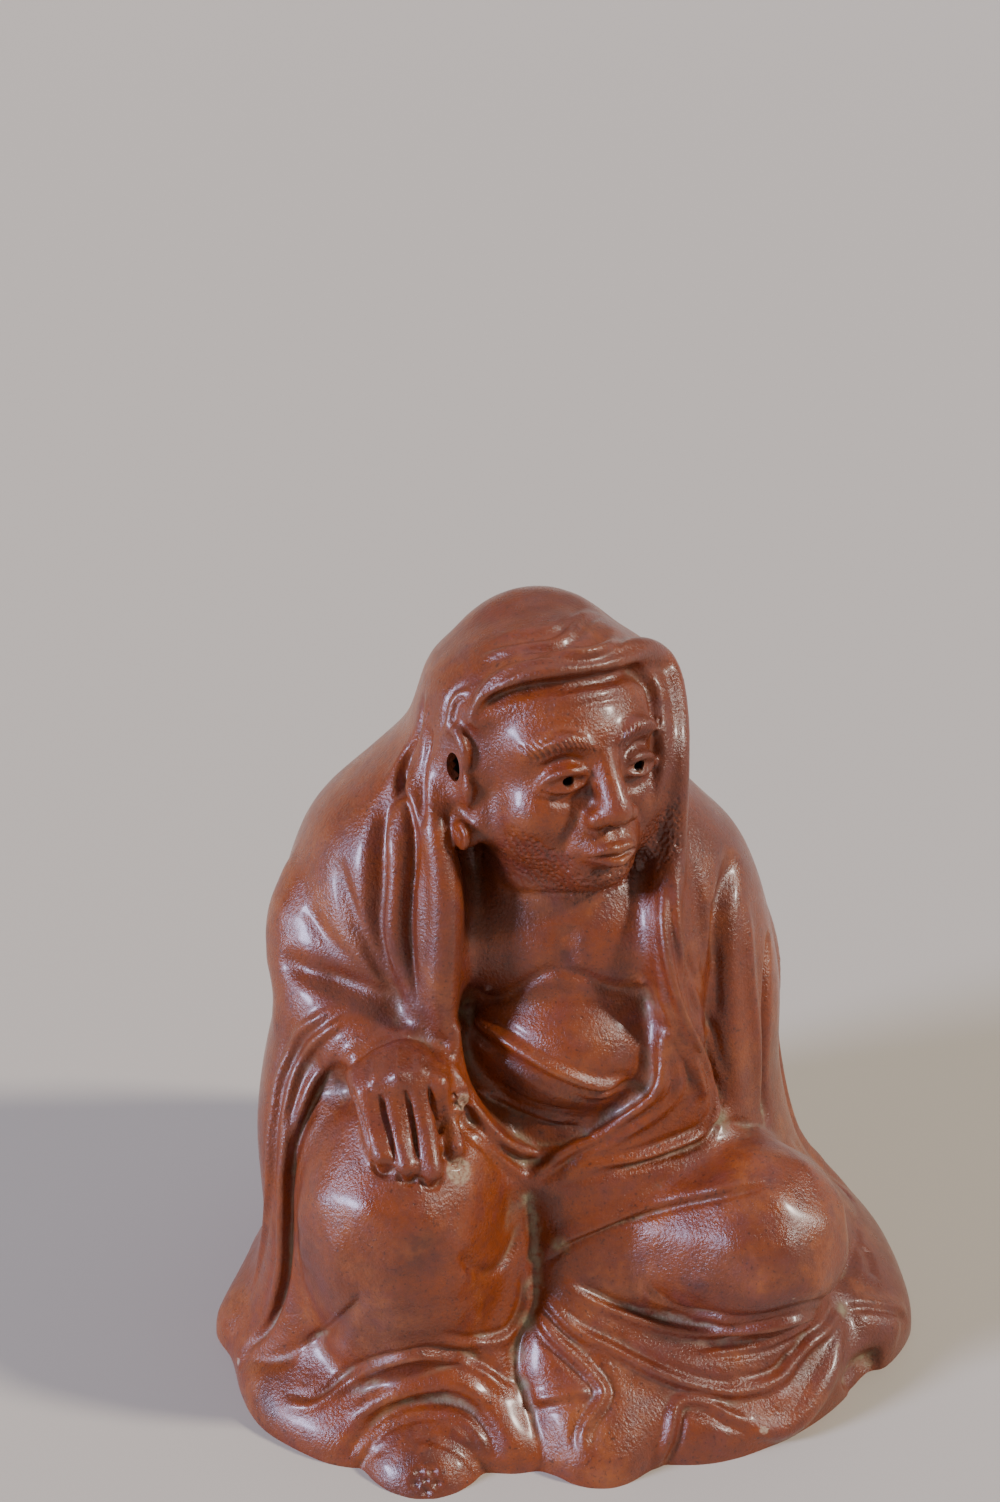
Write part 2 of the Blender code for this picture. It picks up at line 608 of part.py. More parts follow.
BODY_FOLDS = [
    (on_picture, [(471, 987), (487, 1000), (509, 997), (535, 979), (557, 972), (583, 978), (611, 990),
                  (648, 995)], (1.8, 0.9), -0.9, 0),
    (on_picture, [(569, 925), (568, 945), (570, 966)], 2.0, -0.9, 0),
    (on_picture, [(497, 888), (551, 896), (599, 893), (632, 872)], 1.17, -0.8, 0),
    # The rolled sash, and the double hem of the under-robe below it.
    (on_picture, [(460, 1003), (480, 1022), (505, 1040), (559, 1072), (603, 1086), (660, 1086)],
                  1.3, 1.3, (0.5, 1.2)),
    (on_picture, [(470, 1024), (505, 1052), (559, 1083), (603, 1097), (650, 1098)], 0.91, 0.3, -0.4),
    (on_picture, [(475, 1086), (510, 1102), (550, 1118), (600, 1134)], 0.78, 0.5, -0.4),
    (on_picture, [(476, 1074), (510, 1090), (555, 1108), (612, 1122)], 0.78, -0.3, 0),
]

LAP_FOLDS = [
    # The edges of the cloak that meet in the lap.
    (on_picture, [(452, 1040), (464, 1084), (480, 1116), (502, 1140), (528, 1152), (562, 1152)],
                  1.17, 0.7, (0.3, 0.7)),
    (on_picture, [(448, 1062), (462, 1104), (486, 1140), (508, 1164), (530, 1178)], 1.17, 0.6,
                  (0.4, 0.5)),
    (on_picture, [(661, 1060), (658, 1088), (636, 1110), (603, 1132), (570, 1149), (530, 1178)],
                  1.17, 1.0, (0.8, 0.4)),
    (on_picture, [(674, 1046), (678, 1088), (660, 1112), (618, 1136), (570, 1158)], 1.17, 0.8,
                  (0.5, 0.7)),
    (on_picture, [(684, 1060), (694, 1098), (676, 1124), (636, 1142), (590, 1158)], 1.04, 0.6,
                  (0.3, 0.5)),
    (on_picture, [(663, 882), (664, 935), (675, 990), (692, 1033), (709, 1077), (716, 1110),
                  (700, 1134), (660, 1152), (600, 1168), (546, 1178)], 1.1, 1.0, (0.8, 0.5)),
    (on_picture, [(676, 870), (680, 935), (692, 990), (708, 1040), (722, 1085)], 1.04, 0.4, (0.4, 0.3)),
    (on_picture, [(708, 1140), (670, 1156), (633, 1166), (600, 1169), (546, 1178)], 0.91, -0.9, 0),
]

LEFT_SLEEVE_FOLDS = [
    (on_picture, [(745, 900), (750, 970), (756, 1030), (762, 1110)], 1.6, 0.9, 0),
    (on_picture, [(768, 930), (767, 985), (765, 1041), (769, 1126)], 1.3, -2.2, 0),
    (on_picture, [(780, 990), (784, 1041), (790, 1100), (796, 1132)], 1.0, 0.7, 0),
    (on_picture, [(712, 900), (716, 960), (718, 1020)], 1.0, -0.6, 0),
]

RAISED_KNEE_FOLDS = [
    (on_picture, [(525, 1183), (532, 1209), (536, 1241), (536, 1281), (532, 1310), (518, 1338),
                  (516, 1370), (528, 1398), (540, 1445), (546, 1466)], 1.0, -1.2, 0),
    (on_picture, [(458, 1252), (470, 1268), (486, 1275), (500, 1268), (512, 1248), (519, 1222)],
                  (1.4, 0.8), -0.8, 0),
    (on_picture, [(436, 1338), (473, 1344), (499, 1341), (516, 1330), (528, 1305), (530, 1270)],
                  1.04, 0.6, 0.8),
    (on_picture, [(362, 1288), (356, 1304), (338, 1321), (317, 1336), (290, 1349)],
                  (1.6, 0.8), -1.1, 0),
    (on_picture, [(280, 1402), (309, 1407), (329, 1398), (353, 1380), (379, 1366), (414, 1357),
                  (449, 1358), (479, 1371), (502, 1387), (518, 1394)], 1.17, 0.9, 0.8),
    (on_picture, [(352, 1464), (366, 1440), (388, 1422), (416, 1412), (444, 1411), (466, 1420),
                  (482, 1440), (489, 1462)], 1.04, 0.4, -0.6),
    (on_picture, [(410, 1428), (438, 1434), (461, 1444), (476, 1458), (484, 1476)], 0.72, -0.5, 0),
    (on_picture, [(412, 1436), (438, 1442), (459, 1452), (472, 1465), (478, 1478)], 0.72, -0.5, 0),
    (on_picture, [(356, 1470), (366, 1458), (384, 1448)], 0.72, -0.45, 0),
]

FOLDED_KNEE_FOLDS = [
    (on_picture, [(770, 1180), (721, 1190), (681, 1198), (641, 1209), (600, 1225), (563, 1241),
                  (538, 1259)], (0.9, 2.4), 1.0, 0.9),
    (on_picture, [(564, 1284), (590, 1300), (627, 1316), (670, 1329), (708, 1333), (761, 1330),
                  (799, 1321), (820, 1311)], 1.04, 0.8, (0.8, 0.4)),
    (on_picture, [(640, 1283), (655, 1300), (690, 1312), (735, 1321)], 1.04, 0.5, 0.5),
    (on_picture, [(696, 1355), (724, 1352), (761, 1346), (788, 1336), (812, 1322)], 0.78, 0.6,
                  (0.4, 0.5)),
    (on_picture, [(700, 1362), (740, 1360), (774, 1351), (800, 1338)], 0.65, 0.3, 0),
    (on_picture, [(537, 1292), (555, 1310), (579, 1332), (611, 1348), (641, 1364), (670, 1377),
                  (702, 1388), (734, 1392), (761, 1388), (783, 1377), (796, 1360), (812, 1342),
                  (830, 1326), (846, 1302)], 1.17, 0.9, (0.7, 0.4)),
    (on_picture, [(730, 1383), (756, 1381), (775, 1375), (786, 1364), (793, 1350)], 0.78, 0.6, 0.5),
    (on_picture, [(534, 1308), (552, 1335), (574, 1356), (592, 1374), (603, 1391), (598, 1406),
                  (588, 1422), (583, 1438), (586, 1456)], 1.17, 0.9, (0.6, 0.7)),
    (on_picture, [(531, 1400), (555, 1396), (590, 1390)], 1.17, 0.7, -0.5),
    (on_picture, [(654, 1470), (668, 1440), (675, 1409), (686, 1400), (708, 1403), (729, 1415),
                  (754, 1424)], 1.17, 0.9, (0.3, 0.8)),
    (on_picture, [(844, 1302), (876, 1304), (907, 1314)], (2.4, 0.9), 0.8, -0.6),
    (on_picture, [(864, 1246), (870, 1262), (872, 1276)], 1.4, -0.7, 0),
    (on_picture, [(640, 1150), (700, 1131), (745, 1124), (800, 1146), (845, 1190), (858, 1250)],
                  1.0, -0.8, 0),
]

BACK_FOLDS = [
    # Folds that fall from the hood and the shoulders to the floor.
    (on_side, [(178, 128), (176, 105), (184, 80), (180, 45), (186, 8)], 2.2, 1.2, 0.8),
    (on_side, [(158, 118), (152, 92), (156, 62), (150, 34), (156, 8)], 2.0, 1.2, -0.8),
    (on_side, [(205, 120), (212, 92), (206, 66), (214, 36), (208, 8)], 2.0, 1.2, 0.8),
    (on_side, [(130, 104), (128, 78), (134, 50), (128, 24), (132, 6)], 2.0, 1.3, -0.9),
    (on_side, [(232, 106), (238, 80), (232, 52), (240, 26), (236, 6)], 2.0, 1.3, 0.9),
    (on_side, [(104, 84), (108, 58), (104, 34), (110, 8)], 1.8, 1.2, -0.9),
    (on_side, [(262, 78), (258, 56), (264, 32), (258, 8)], 1.8, 1.2, 0.9),
    (on_side, [(168, 50), (170, 30), (166, 6)], 1.8, 1.0, 0.6),
    (on_side, [(196, 56), (194, 32), (198, 6)], 1.8, 1.0, -0.6),
    (on_side, [(118, 40), (120, 22), (116, 6)], 1.7, 1.0, 0.6),
    (on_side, [(248, 42), (250, 22), (246, 6)], 1.7, 1.0, -0.6),
]

FOLDS = (HOOD_FOLDS + RIGHT_SLEEVE_FOLDS + BODY_FOLDS + LAP_FOLDS + LEFT_SLEEVE_FOLDS
         + RAISED_KNEE_FOLDS + FOLDED_KNEE_FOLDS + BACK_FOLDS)

FACE = [
    # Eye sockets above the lids, and the fold from the nose to the corner of the mouth.
    (on_face, [(-11.5, 2.6), (-7, 4.4), (-3, 2.4)], 1.0, -0.9, 0),
    (on_face, [(11.5, 2.6), (7, 4.4), (3, 2.4)], 1.0, -0.9, 0),
    (on_face, [(-11, -1.4), (-7, -2.8), (-3.4, -1.6)], 1.0, -0.7, 0),
    (on_face, [(11, -1.4), (7, -2.8), (3.4, -1.6)], 1.0, -0.7, 0),
    (on_face, [(-4.6, -6), (-7.4, -10), (-8.4, -15)], 1.0, -0.7, 0),
    (on_face, [(4.6, -6), (7.4, -10), (8.4, -15)], 1.0, -0.7, 0),
    (on_face, [(-6, -14.6), (0, -14.8), (6, -14.6)], 0.8, -0.9, 0),
]


def statue_skin():
    """The whole figure as one skin of clay, in parts, still running on below the floor."""
    clay = [lump_of(opened_cloak())]
    add_legs(clay)
    add_right_arm(clay)
    add_body(clay)
    add_head(clay)
    rough = fused(mesh_of(clay), ROUGH_GRAIN, 5)
    tree = tree_of(rough)
    clay = [lump_of(rough)]
    add_features(clay)
    add_hood_edge(clay, tree)
    add_hand(clay, tree)
    add_shoe(clay)
    add_worn_ridge(clay, tree)
    mesh = fused(mesh_of(clay), FINE_GRAIN, 2)
    press(mesh, HOLLOWS)
    press(mesh, FOLDS + FACE)
    return fused(mesh, FINE_GRAIN, 1)


def set_down(form):
    """Cuts the figure off flat at the floor and closes its underside."""
    geometry = form.verts[:] + form.edges[:] + form.faces[:]
    bmesh.ops.bisect_plane(form, geom=geometry, plane_co=(0, 0, 0), plane_no=(0, 0, -1), clear_outer=True)
    rim = [edge for edge in form.edges if edge.is_boundary]
    bmesh.ops.holes_fill(form, edges=rim, sides=0)
    bmesh.ops.triangulate(form, faces=form.faces[:])


def form_from(mesh):
    """The mesh opened for editing."""
    form = bmesh.new()
    form.from_mesh(mesh)
    bpy.data.meshes.remove(mesh)
    return form


def mesh_from(form, name):
    mesh = bpy.data.meshes.new(name)
    form.to_mesh(mesh)
    form.free()
    return mesh


def settle(mesh):
    """Brings the figure to its height in metres, with the origin at the middle of its underside."""
    corners = corners_of(mesh)
    low, high = corners.min(0), corners.max(0)
    middle = Vector(((low[0] + high[0]) / 2, (low[1] + high[1]) / 2, low[2]))
    mesh.transform(Matrix.Scale(FIGURE_HEIGHT / (high[2] - low[2]), 4) @ Matrix.Translation(-middle))


def stoneware():
    """Unglazed red-brown stoneware, burnished to a low sheen."""
    material = bpy.data.materials.new("stoneware")
    material.use_nodes = True
    shader = material.node_tree.nodes["Principled BSDF"]
    shader.inputs["Base Color"].default_value = STONEWARE_COLOUR
    shader.inputs["Roughness"].default_value = 0.4
    shader.inputs["Metallic"].default_value = 0.0
    return material


def main():
    for old in list(bpy.data.objects):
        bpy.data.objects.remove(old)
    form = form_from(statue_skin())
    keep_largest(form)
    mesh = mesh_from(form, "skin")
    facets = len(mesh.polygons) * 2
    mesh = worked(mesh, ("DECIMATE", {"decimate_type": "COLLAPSE", "ratio": FACETS / facets}))
    form = form_from(mesh)
    set_down(form)
    mesh = mesh_from(form, "statue")
    settle(mesh)
    mesh.shade_smooth()
    mesh.set_sharp_from_angle(angle=math.radians(40))
    mesh.materials.append(stoneware())
    statue = bpy.data.objects.new("statue", mesh)
    bpy.context.scene.collection.objects.link(statue)


main()
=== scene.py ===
import json
import math

import bmesh
import bpy
import numpy as np
from mathutils import Matrix, Vector
from mathutils.bvhtree import BVHTree

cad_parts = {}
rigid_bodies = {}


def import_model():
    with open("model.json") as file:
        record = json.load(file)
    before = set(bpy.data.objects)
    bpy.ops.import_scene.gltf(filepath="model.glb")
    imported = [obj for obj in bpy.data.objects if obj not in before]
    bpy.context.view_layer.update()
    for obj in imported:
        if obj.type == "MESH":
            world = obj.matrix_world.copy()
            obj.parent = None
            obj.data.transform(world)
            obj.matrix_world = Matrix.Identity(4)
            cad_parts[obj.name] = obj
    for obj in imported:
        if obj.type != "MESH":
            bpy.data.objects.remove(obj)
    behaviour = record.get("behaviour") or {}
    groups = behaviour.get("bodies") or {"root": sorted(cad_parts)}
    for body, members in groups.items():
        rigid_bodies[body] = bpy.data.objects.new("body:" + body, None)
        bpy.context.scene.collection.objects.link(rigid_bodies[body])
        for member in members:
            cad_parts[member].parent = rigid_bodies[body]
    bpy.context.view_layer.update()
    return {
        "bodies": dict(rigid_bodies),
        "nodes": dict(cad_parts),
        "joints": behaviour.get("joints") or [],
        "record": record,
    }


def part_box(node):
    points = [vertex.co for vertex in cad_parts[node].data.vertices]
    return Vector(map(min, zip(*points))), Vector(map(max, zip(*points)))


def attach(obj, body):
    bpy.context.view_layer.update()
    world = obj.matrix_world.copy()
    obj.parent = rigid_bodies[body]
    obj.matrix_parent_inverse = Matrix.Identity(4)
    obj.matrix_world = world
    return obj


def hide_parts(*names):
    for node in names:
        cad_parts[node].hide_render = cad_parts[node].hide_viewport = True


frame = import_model()

# Places on the figure are in parts, and the figure is 150 parts high, as in its solid.
ROUGH_GRAIN = 1.6
WORKING_GRAIN = 0.75
FINISHED_GRAIN = 0.42

# How many triangles the finished piece keeps.
FACETS = 194000

# The photograph's viewpoint, in parts, and its picture frame in pixels.
EYE = Vector((-13.0, -342.0, 283.0))
EYE_PITCH = math.radians(25.0)
EYE_FOCAL = 2042.0
PICTURE = (1000.0, 1502.0)

# The head: its centre, and how far it is turned to its left and tipped back, in degrees.
HEAD = Vector((-2, -1.5, 123))
HEAD_TURN = 27.0
HEAD_TIP = 12.0


# Where things are
def sight(px, py):
    """The direction from the eye through a pixel of the picture."""
    right = px - PICTURE[0] / 2
    up = PICTURE[1] / 2 - py
    cos, sin = math.cos(EYE_PITCH), math.sin(EYE_PITCH)
    return Vector((right, EYE_FOCAL * cos + up * sin, up * cos - EYE_FOCAL * sin))


def seen(px, py, depth):
    """The point seen at a pixel, on the upright plane at y = depth, in parts."""
    line = sight(px, py)
    return EYE + line * ((depth - EYE.y) / line.y)


def head_frame():
    """From the head's own frame, its face towards -Y, to the figure's."""
    turn = Matrix.Rotation(math.radians(HEAD_TURN), 4, "Z")
    tip = Matrix.Rotation(math.radians(-HEAD_TIP), 4, "X")
    return Matrix.Translation(HEAD) @ turn @ tip


def through(points, count):
    """A smooth curve through the points, as count evenly spaced points."""
    points = [np.array(p, float) for p in points]
    if len(points) == 2:
        fine = [points[0] + (points[1] - points[0]) * t for t in np.linspace(0, 1, 9)]
    else:
        ends = [2 * points[0] - points[1], *points, 2 * points[-1] - points[-2]]
        fine = []
        for a, b, c, d in zip(ends, ends[1:], ends[2:], ends[3:]):
            for t in np.linspace(0, 1, 12, endpoint=False):
                fine.append(
                    0.5 * (2 * b + (c - a) * t + (2 * a - 5 * b + 4 * c - d) * t**2
                           + (3 * b - a - 3 * c + d) * t**3)
                )
        fine.append(points[-1])
    fine = np.array(fine)
    run = np.concatenate([[0], np.cumsum(np.linalg.norm(np.diff(fine, axis=0), axis=1))])
    wanted = np.linspace(0, run[-1], count)
    return np.stack([np.interp(wanted, run, fine[:, i]) for i in range(fine.shape[1])], axis=1)


# Lumps of clay
def unit_ball(fineness):
    """The corners and facets of a ball of radius 1."""
    form = bmesh.new()
    bmesh.ops.create_icosphere(form, subdivisions=fineness, radius=1)
    corners = np.array([v.co[:] for v in form.verts])
    facets = [[v.index for v in f.verts] for f in form.faces]
    form.free()
    return corners, facets


COARSE_BALL = unit_ball(2)
ROUND_BALL = unit_ball(3)


def add_ball(clay, centre, radii, turn=(0, 0, 0), frame=Matrix.Identity(4), ball=ROUND_BALL):
    """A ball, or an egg with three radii, turned by degrees about x, y and z."""
    if not hasattr(radii, "__len__"):
        radii = (radii, radii, radii)
    spin = Matrix.Rotation(math.radians(turn[2]), 4, "Z")
    spin = spin @ Matrix.Rotation(math.radians(turn[1]), 4, "Y")
    spin = spin @ Matrix.Rotation(math.radians(turn[0]), 4, "X")
    place = np.array(frame @ Matrix.Translation(Vector(centre)) @ spin @ Matrix.Diagonal((*radii, 1)))
    corners, facets = ball
    clay.append((corners @ place[:3, :3].T + place[:3, 3], facets))


def add_roll(clay, points, radii, frame=Matrix.Identity(4), spacing=0.35):
    """A roll of clay along a smooth curve, its radius running through the given radii."""
    rough = through(points, 60)
    length = np.linalg.norm(np.diff(rough, axis=0), axis=1).sum()
    count = max(3, int(length / (min(radii) * spacing)) + 1)
    spots = through(points, count)
    sizes = np.interp(np.linspace(0, len(radii) - 1, count), range(len(radii)), radii)
    for spot, size in zip(spots, sizes):
        add_ball(clay, spot, size, frame=frame, ball=COARSE_BALL)


def add_skin(clay, loops):
    """A closed skin over a row of loops that have the same number of points."""
    around = len(loops[0])
    facets = []
    for level in range(len(loops) - 1):
        low, high = level * around, (level + 1) * around
        for i in range(around):
            j = (i + 1) % around
            facets.append([low + i, low + j, high + j, high + i])
    facets.append(list(range(around))[::-1])
    facets.append(list(range((len(loops) - 1) * around, len(loops) * around)))
    clay.append((np.array([point for loop in loops for point in loop], float), facets))


def mesh_of(clay, name="clay"):
    """All the lumps of clay in one mesh."""
    corners, facets, first = [], [], 0
    for lump_corners, lump_facets in clay:
        corners.append(lump_corners)
        facets.extend([first + i for i in facet] for facet in lump_facets)
        first += len(lump_corners)
    mesh = bpy.data.meshes.new(name)
    mesh.from_pydata(np.concatenate(corners), [], facets)
    mesh.update()
    return mesh


def corners_of(mesh):
    """Where the mesh's corners are."""
    corners = np.empty(len(mesh.vertices) * 3)
    mesh.vertices.foreach_get("co", corners)
    return corners.reshape(-1, 3)


def facings_of(mesh):
    """Which way the skin faces at each corner."""
    facings = np.empty(len(mesh.vertices) * 3)
    mesh.vertex_normals.foreach_get("vector", facings)
    return facings.reshape(-1, 3)


def moved(mesh, push):
    """Moves each corner the way the skin faces, by its own push."""
    mesh.vertices.foreach_set("co", (corners_of(mesh) + facings_of(mesh) * push[:, None]).ravel())
    mesh.update()


def lump_of(mesh):
    """A mesh as one lump of clay."""
    return corners_of(mesh), [tuple(face.vertices) for face in mesh.polygons]


def worked(mesh, *steps):
    """The mesh after modifiers, each given as a type and its settings."""
    lump = bpy.data.objects.new("lump", mesh)
    bpy.context.scene.collection.objects.link(lump)
    for kind, settings in steps:
        modifier = lump.modifiers.new(kind, kind)
        for name, value in settings.items():
            setattr(modifier, name, value)
    bpy.context.view_layer.update()
    graph = bpy.context.evaluated_depsgraph_get()
    made = bpy.data.meshes.new_from_object(lump.evaluated_get(graph))
    bpy.data.objects.remove(lump)
    bpy.data.meshes.remove(mesh)
    return made


def fused(mesh, grain, rounds):
    """All the lumps pressed into one skin, then rubbed smooth."""
    return worked(
        mesh,
        ("REMESH", {"mode": "VOXEL", "voxel_size": grain, "adaptivity": 0}),
        ("SMOOTH", {"factor": 0.5, "iterations": rounds}),
    )


def cut_away(mesh, clay):
    """The mesh without the space that the lumps of clay fill."""
    cutter = bpy.data.objects.new("cutter", mesh_of(clay, "cutter"))
    bpy.context.scene.collection.objects.link(cutter)
    made = worked(mesh, ("BOOLEAN", {"operation": "DIFFERENCE", "object": cutter, "solver": "EXACT"}))
    bpy.data.objects.remove(cutter)
    return made


# Looks: ways to find a place on the skin. Each gives the place and the skin's direction there.
def on_picture(tree, spot):
    """The place seen at a pixel of the picture."""
    return tree.ray_cast(EYE, sight(*spot).normalized())[:2]


def on_side(tree, spot):
    """The place at a compass angle, 0 at the front and 90 at the viewer's right, and a height."""
    angle, height = math.radians(spot[0]), spot[1]
    out = Vector((math.sin(angle), -math.cos(angle), 0))
    return tree.ray_cast(Vector((0, 2, height)) + out * 200, -out)[:2]


def on_face(tree, spot):
    """The place straight before a point of the face, given across and up from the head's centre."""
    frame = head_frame()
    start = frame @ Vector((spot[0], -60, spot[1]))
    return tree.ray_cast(start, (frame.to_3x3() @ Vector((0, 1, 0))).normalized())[:2]


def same_look(look, *rows):
    """Rows of places that are all found with one look."""
    return [(look, *row) for row in rows]


def tree_of(mesh):
    """The mesh as a tree that rays can be cast at."""
    return BVHTree.FromPolygons(corners_of(mesh).tolist(), [tuple(p.vertices) for p in mesh.polygons])


def laid(tree, look, spots, lift):
    """Points on the skin at the spots, lifted off it a little."""
    found = [look(tree, spot) for spot in spots]
    return [place + normal * lift for place, normal in found if place]


def two(value):
    """A value for the left and one for the right of a stroke, from one or two."""
    return value if hasattr(value, "__len__") else (value, value)


# A stroke's shape: where its swell has died out, in half widths, the share of it that tapers at
# each end, and how far out its crease is and how wide, in half widths.
STROKE_REACH = 3.2
STROKE_TAPER = 0.22
CREASE_OUT = 1.5
CREASE_WIDTH = 0.7


def press(mesh, strokes):
    """Draws every stroke on the skin.

    A stroke is a look, its spots, a half width, a height (a groove below 0) and, where it has one,
    the depth of the crease along its edge. A pair of widths gives its left and its right flank as
    it is drawn, so that a wide flank makes the edge of an overlapping cloth. A single crease is on
    the left, or on the right below 0, and a pair is one on each side.
    """
    tree = tree_of(mesh)
    places = corners_of(mesh)
    normals = facings_of(mesh)
    push = np.zeros(len(places))
    for look, spots, width, height, *creases in strokes:
        found = [look(tree, spot) for spot in spots]
        found = [(place, normal) for place, normal in found if place]
        if len(found) < 2:
            continue
        widths = two(width)
        crease = creases[0] if creases else 0
        if not hasattr(crease, "__len__"):
            crease = (max(crease, 0), max(-crease, 0))
        both = through([(*place, *normal) for place, normal in found], 10 * len(found))
        line, facing = both[:, :3], both[:, 3:]
        along = np.gradient(line, axis=0)
        along /= np.linalg.norm(along, axis=1)[:, None]
        left = np.cross(facing, along)
        step = np.diff(line, axis=0)
        reach = max(widths) * STROKE_REACH
        near = np.all((places > line.min(0) - reach) & (places < line.max(0) + reach), axis=1)
        near = np.nonzero(near)[0]
        if not len(near):
            continue
        far = np.full(len(near), np.inf)
        closest = np.zeros(len(near), int)
        share = np.zeros(len(near))
        gap = np.zeros((len(near), 3))
        for i, piece in enumerate(step):
            off = places[near] - line[i]
            part = np.clip(off @ piece / (piece @ piece), 0, 1)
            off -= part[:, None] * piece
            distance = np.einsum("ij,ij->i", off, off)
            better = distance < far
            far[better] = distance[better]
            closest[better] = i
            share[better] = part[better]
            gap[better] = off[better]
        beside = left[closest] * (1 - share)[:, None] + left[closest + 1] * share[:, None]
        front = facing[closest] * (1 - share)[:, None] + facing[closest + 1] * share[:, None]
        signed = np.sqrt(far) * np.sign(np.einsum("ij,ij->i", gap, beside))
        agree = np.einsum("ij,ij->i", normals[near], front)
        agree = np.clip((agree + 0.1) / 0.5, 0, 1)
        run = (closest + share) / len(step)
        taper = np.clip(np.minimum(run, 1 - run) / STROKE_TAPER, 0, 1)
        taper = taper * (2 - taper)
        flank = np.where(signed > 0, widths[0], widths[1])
        shape = height * np.exp(-((signed / flank) ** 2))
        for side, depth in ((1, crease[0]), (-1, crease[1])):
            if depth:
                thin = min(widths)
                beyond = signed * side - CREASE_OUT * thin
                shape -= depth * np.exp(-((beyond / (CREASE_WIDTH * thin)) ** 2))
        push[near] += shape * taper * agree
    moved(mesh, push)


# Where a pricked dot has died out, in its own radii.
DOT_REACH = 2.6


def prick(mesh, *groups):
    """Pushes groups of round dots into the skin, each a look, a spot, a radius and a height."""
    tree = tree_of(mesh)
    places = corners_of(mesh)
    normals = facings_of(mesh)
    push = np.zeros(len(places))
    for dots in groups:
        found = [(*look(tree, spot), radius, height) for look, spot, radius, height in dots]
        found = [dot for dot in found if dot[0]]
        middles = np.array([dot[0][:] for dot in found])
        around = DOT_REACH * max(dot[2] for dot in found)
        low, high = middles.min(0) - around, middles.max(0) + around
        group = np.nonzero(np.all((places > low) & (places < high), axis=1))[0]
        for middle, (_, normal, radius, height) in zip(middles, found):
            far = np.linalg.norm(places[group] - middle, axis=1) / radius
            near = far < DOT_REACH
            agree = np.clip(normals[group[near]] @ np.array(normal) + 0.2, 0, 1)
            push[group[near]] += height * np.exp(-(far[near] ** 2)) * agree
    moved(mesh, push)


# The cloak's outline from the floor up: height, left, right, front, back, and where it is widest.
LEFT_SQUARENESS = 2.4
RIGHT_SQUARENESS = 2.1
CLOAK = [
    (-6, -69, 69, -53, 56, -10),
    (0, -70.5, 70.5, -55.5, 57, -10),
    (3, -71, 71, -56, 58, -10),
    (7, -66, 68, -52.5, 58, -8),
    (15, -58, 60, -45, 57, -2),
    (30, -57, 49.5, -36, 56, 4),
    (50, -57.5, 44, -30, 53, 10),
    (70, -57.5, 43, -27, 49, 12),
    (88, -56, 39, -24, 44, 12),
    (100, -52.5, 34, -21, 39, 12),
    (108, -48, 27, -18, 36, 10),
    (116, -39.5, 20, -16, 34, 9),
    (124, -31.5, 19.5, -15, 33, 9),
    (132, -28.5, 19.5, -15, 32, 9),
    (138, -26, 17, -15, 30, 9),
    (146, -16, 5, -10, 22, 8),
]

# The fall of the right sleeve beside the raised knee, in the same way.
SLEEVE_FALL = [
    (-6, -67, -30, -38, 26, -10),
    (3, -68, -30, -38, 26, -10),
    (12, -63, -30, -36, 26, -8),
    (30, -60, -30, -33, 25, -8),
    (50, -60.5, -30, -30, 24, -7),
    (66, -58, -33, -23, 20, -5),
    (78, -54, -36, -14, 16, -2),
]

# The wavy hem: how high its waves reach, where its lip ends and how fast it draws in above that,
# then its line on the floor, as it shows in the picture and, round the back, in parts.
HEM_RISE = 11.0
HEM_LIP = 3
HEM_DRAW_IN = 0.35
HEM_IN_PICTURE = [
    (213, 1328), (222, 1347), (235, 1355), (238, 1385), (258, 1425), (300, 1452), (345, 1468),
    (430, 1470), (497, 1473), (522, 1476), (545, 1466), (562, 1482), (602, 1490), (632, 1483),
    (660, 1464), (690, 1466), (740, 1458), (800, 1432), (838, 1405), (866, 1374), (884, 1369),
    (906, 1344), (912, 1322), (904, 1290),
]
HEM_BEHIND = [
    (69.5, 14), (63, 31), (60.5, 40), (48, 49), (38, 57), (26, 55.5), (10, 59), (-4, 57.5),
    (-20, 59.5), (-34, 54), (-46, 51), (-54, 41), (-62, 32), (-62, 20), (-67, 2),
]

# The opening of the hood and the cloak, as seen in the picture.
OPENING_BACK = 2
OPENING = [
    (478, 730), (505, 700), (540, 690), (600, 680), (640, 664), (660, 672), (668, 720), (662, 800),
    (650, 880), (650, 940), (657, 1010), (662, 1060), (640, 1110), (590, 1150), (530, 1178),
    (492, 1130), (466, 1080), (456, 1040), (461, 975), (465, 910), (462, 868), (448, 825),
    (440, 782), (445, 745), (458, 730),
]


def on_floor(px, py):
    """The point of the floor seen at a pixel."""
    line = sight(px, py)
    return EYE + line * (-EYE.z / line.z)


def hem_reach():
    """The hem's angles round the middle and how far it reaches at each."""
    round_it = [on_floor(*pixel)[:2] for pixel in HEM_IN_PICTURE] + HEM_BEHIND
    spots = through(round_it + round_it[:1], 400)[:-1]
    angles = np.arctan2(spots[:, 1], spots[:, 0])
    order = np.argsort(angles)
    return angles[order], np.linalg.norm(spots, axis=1)[order]


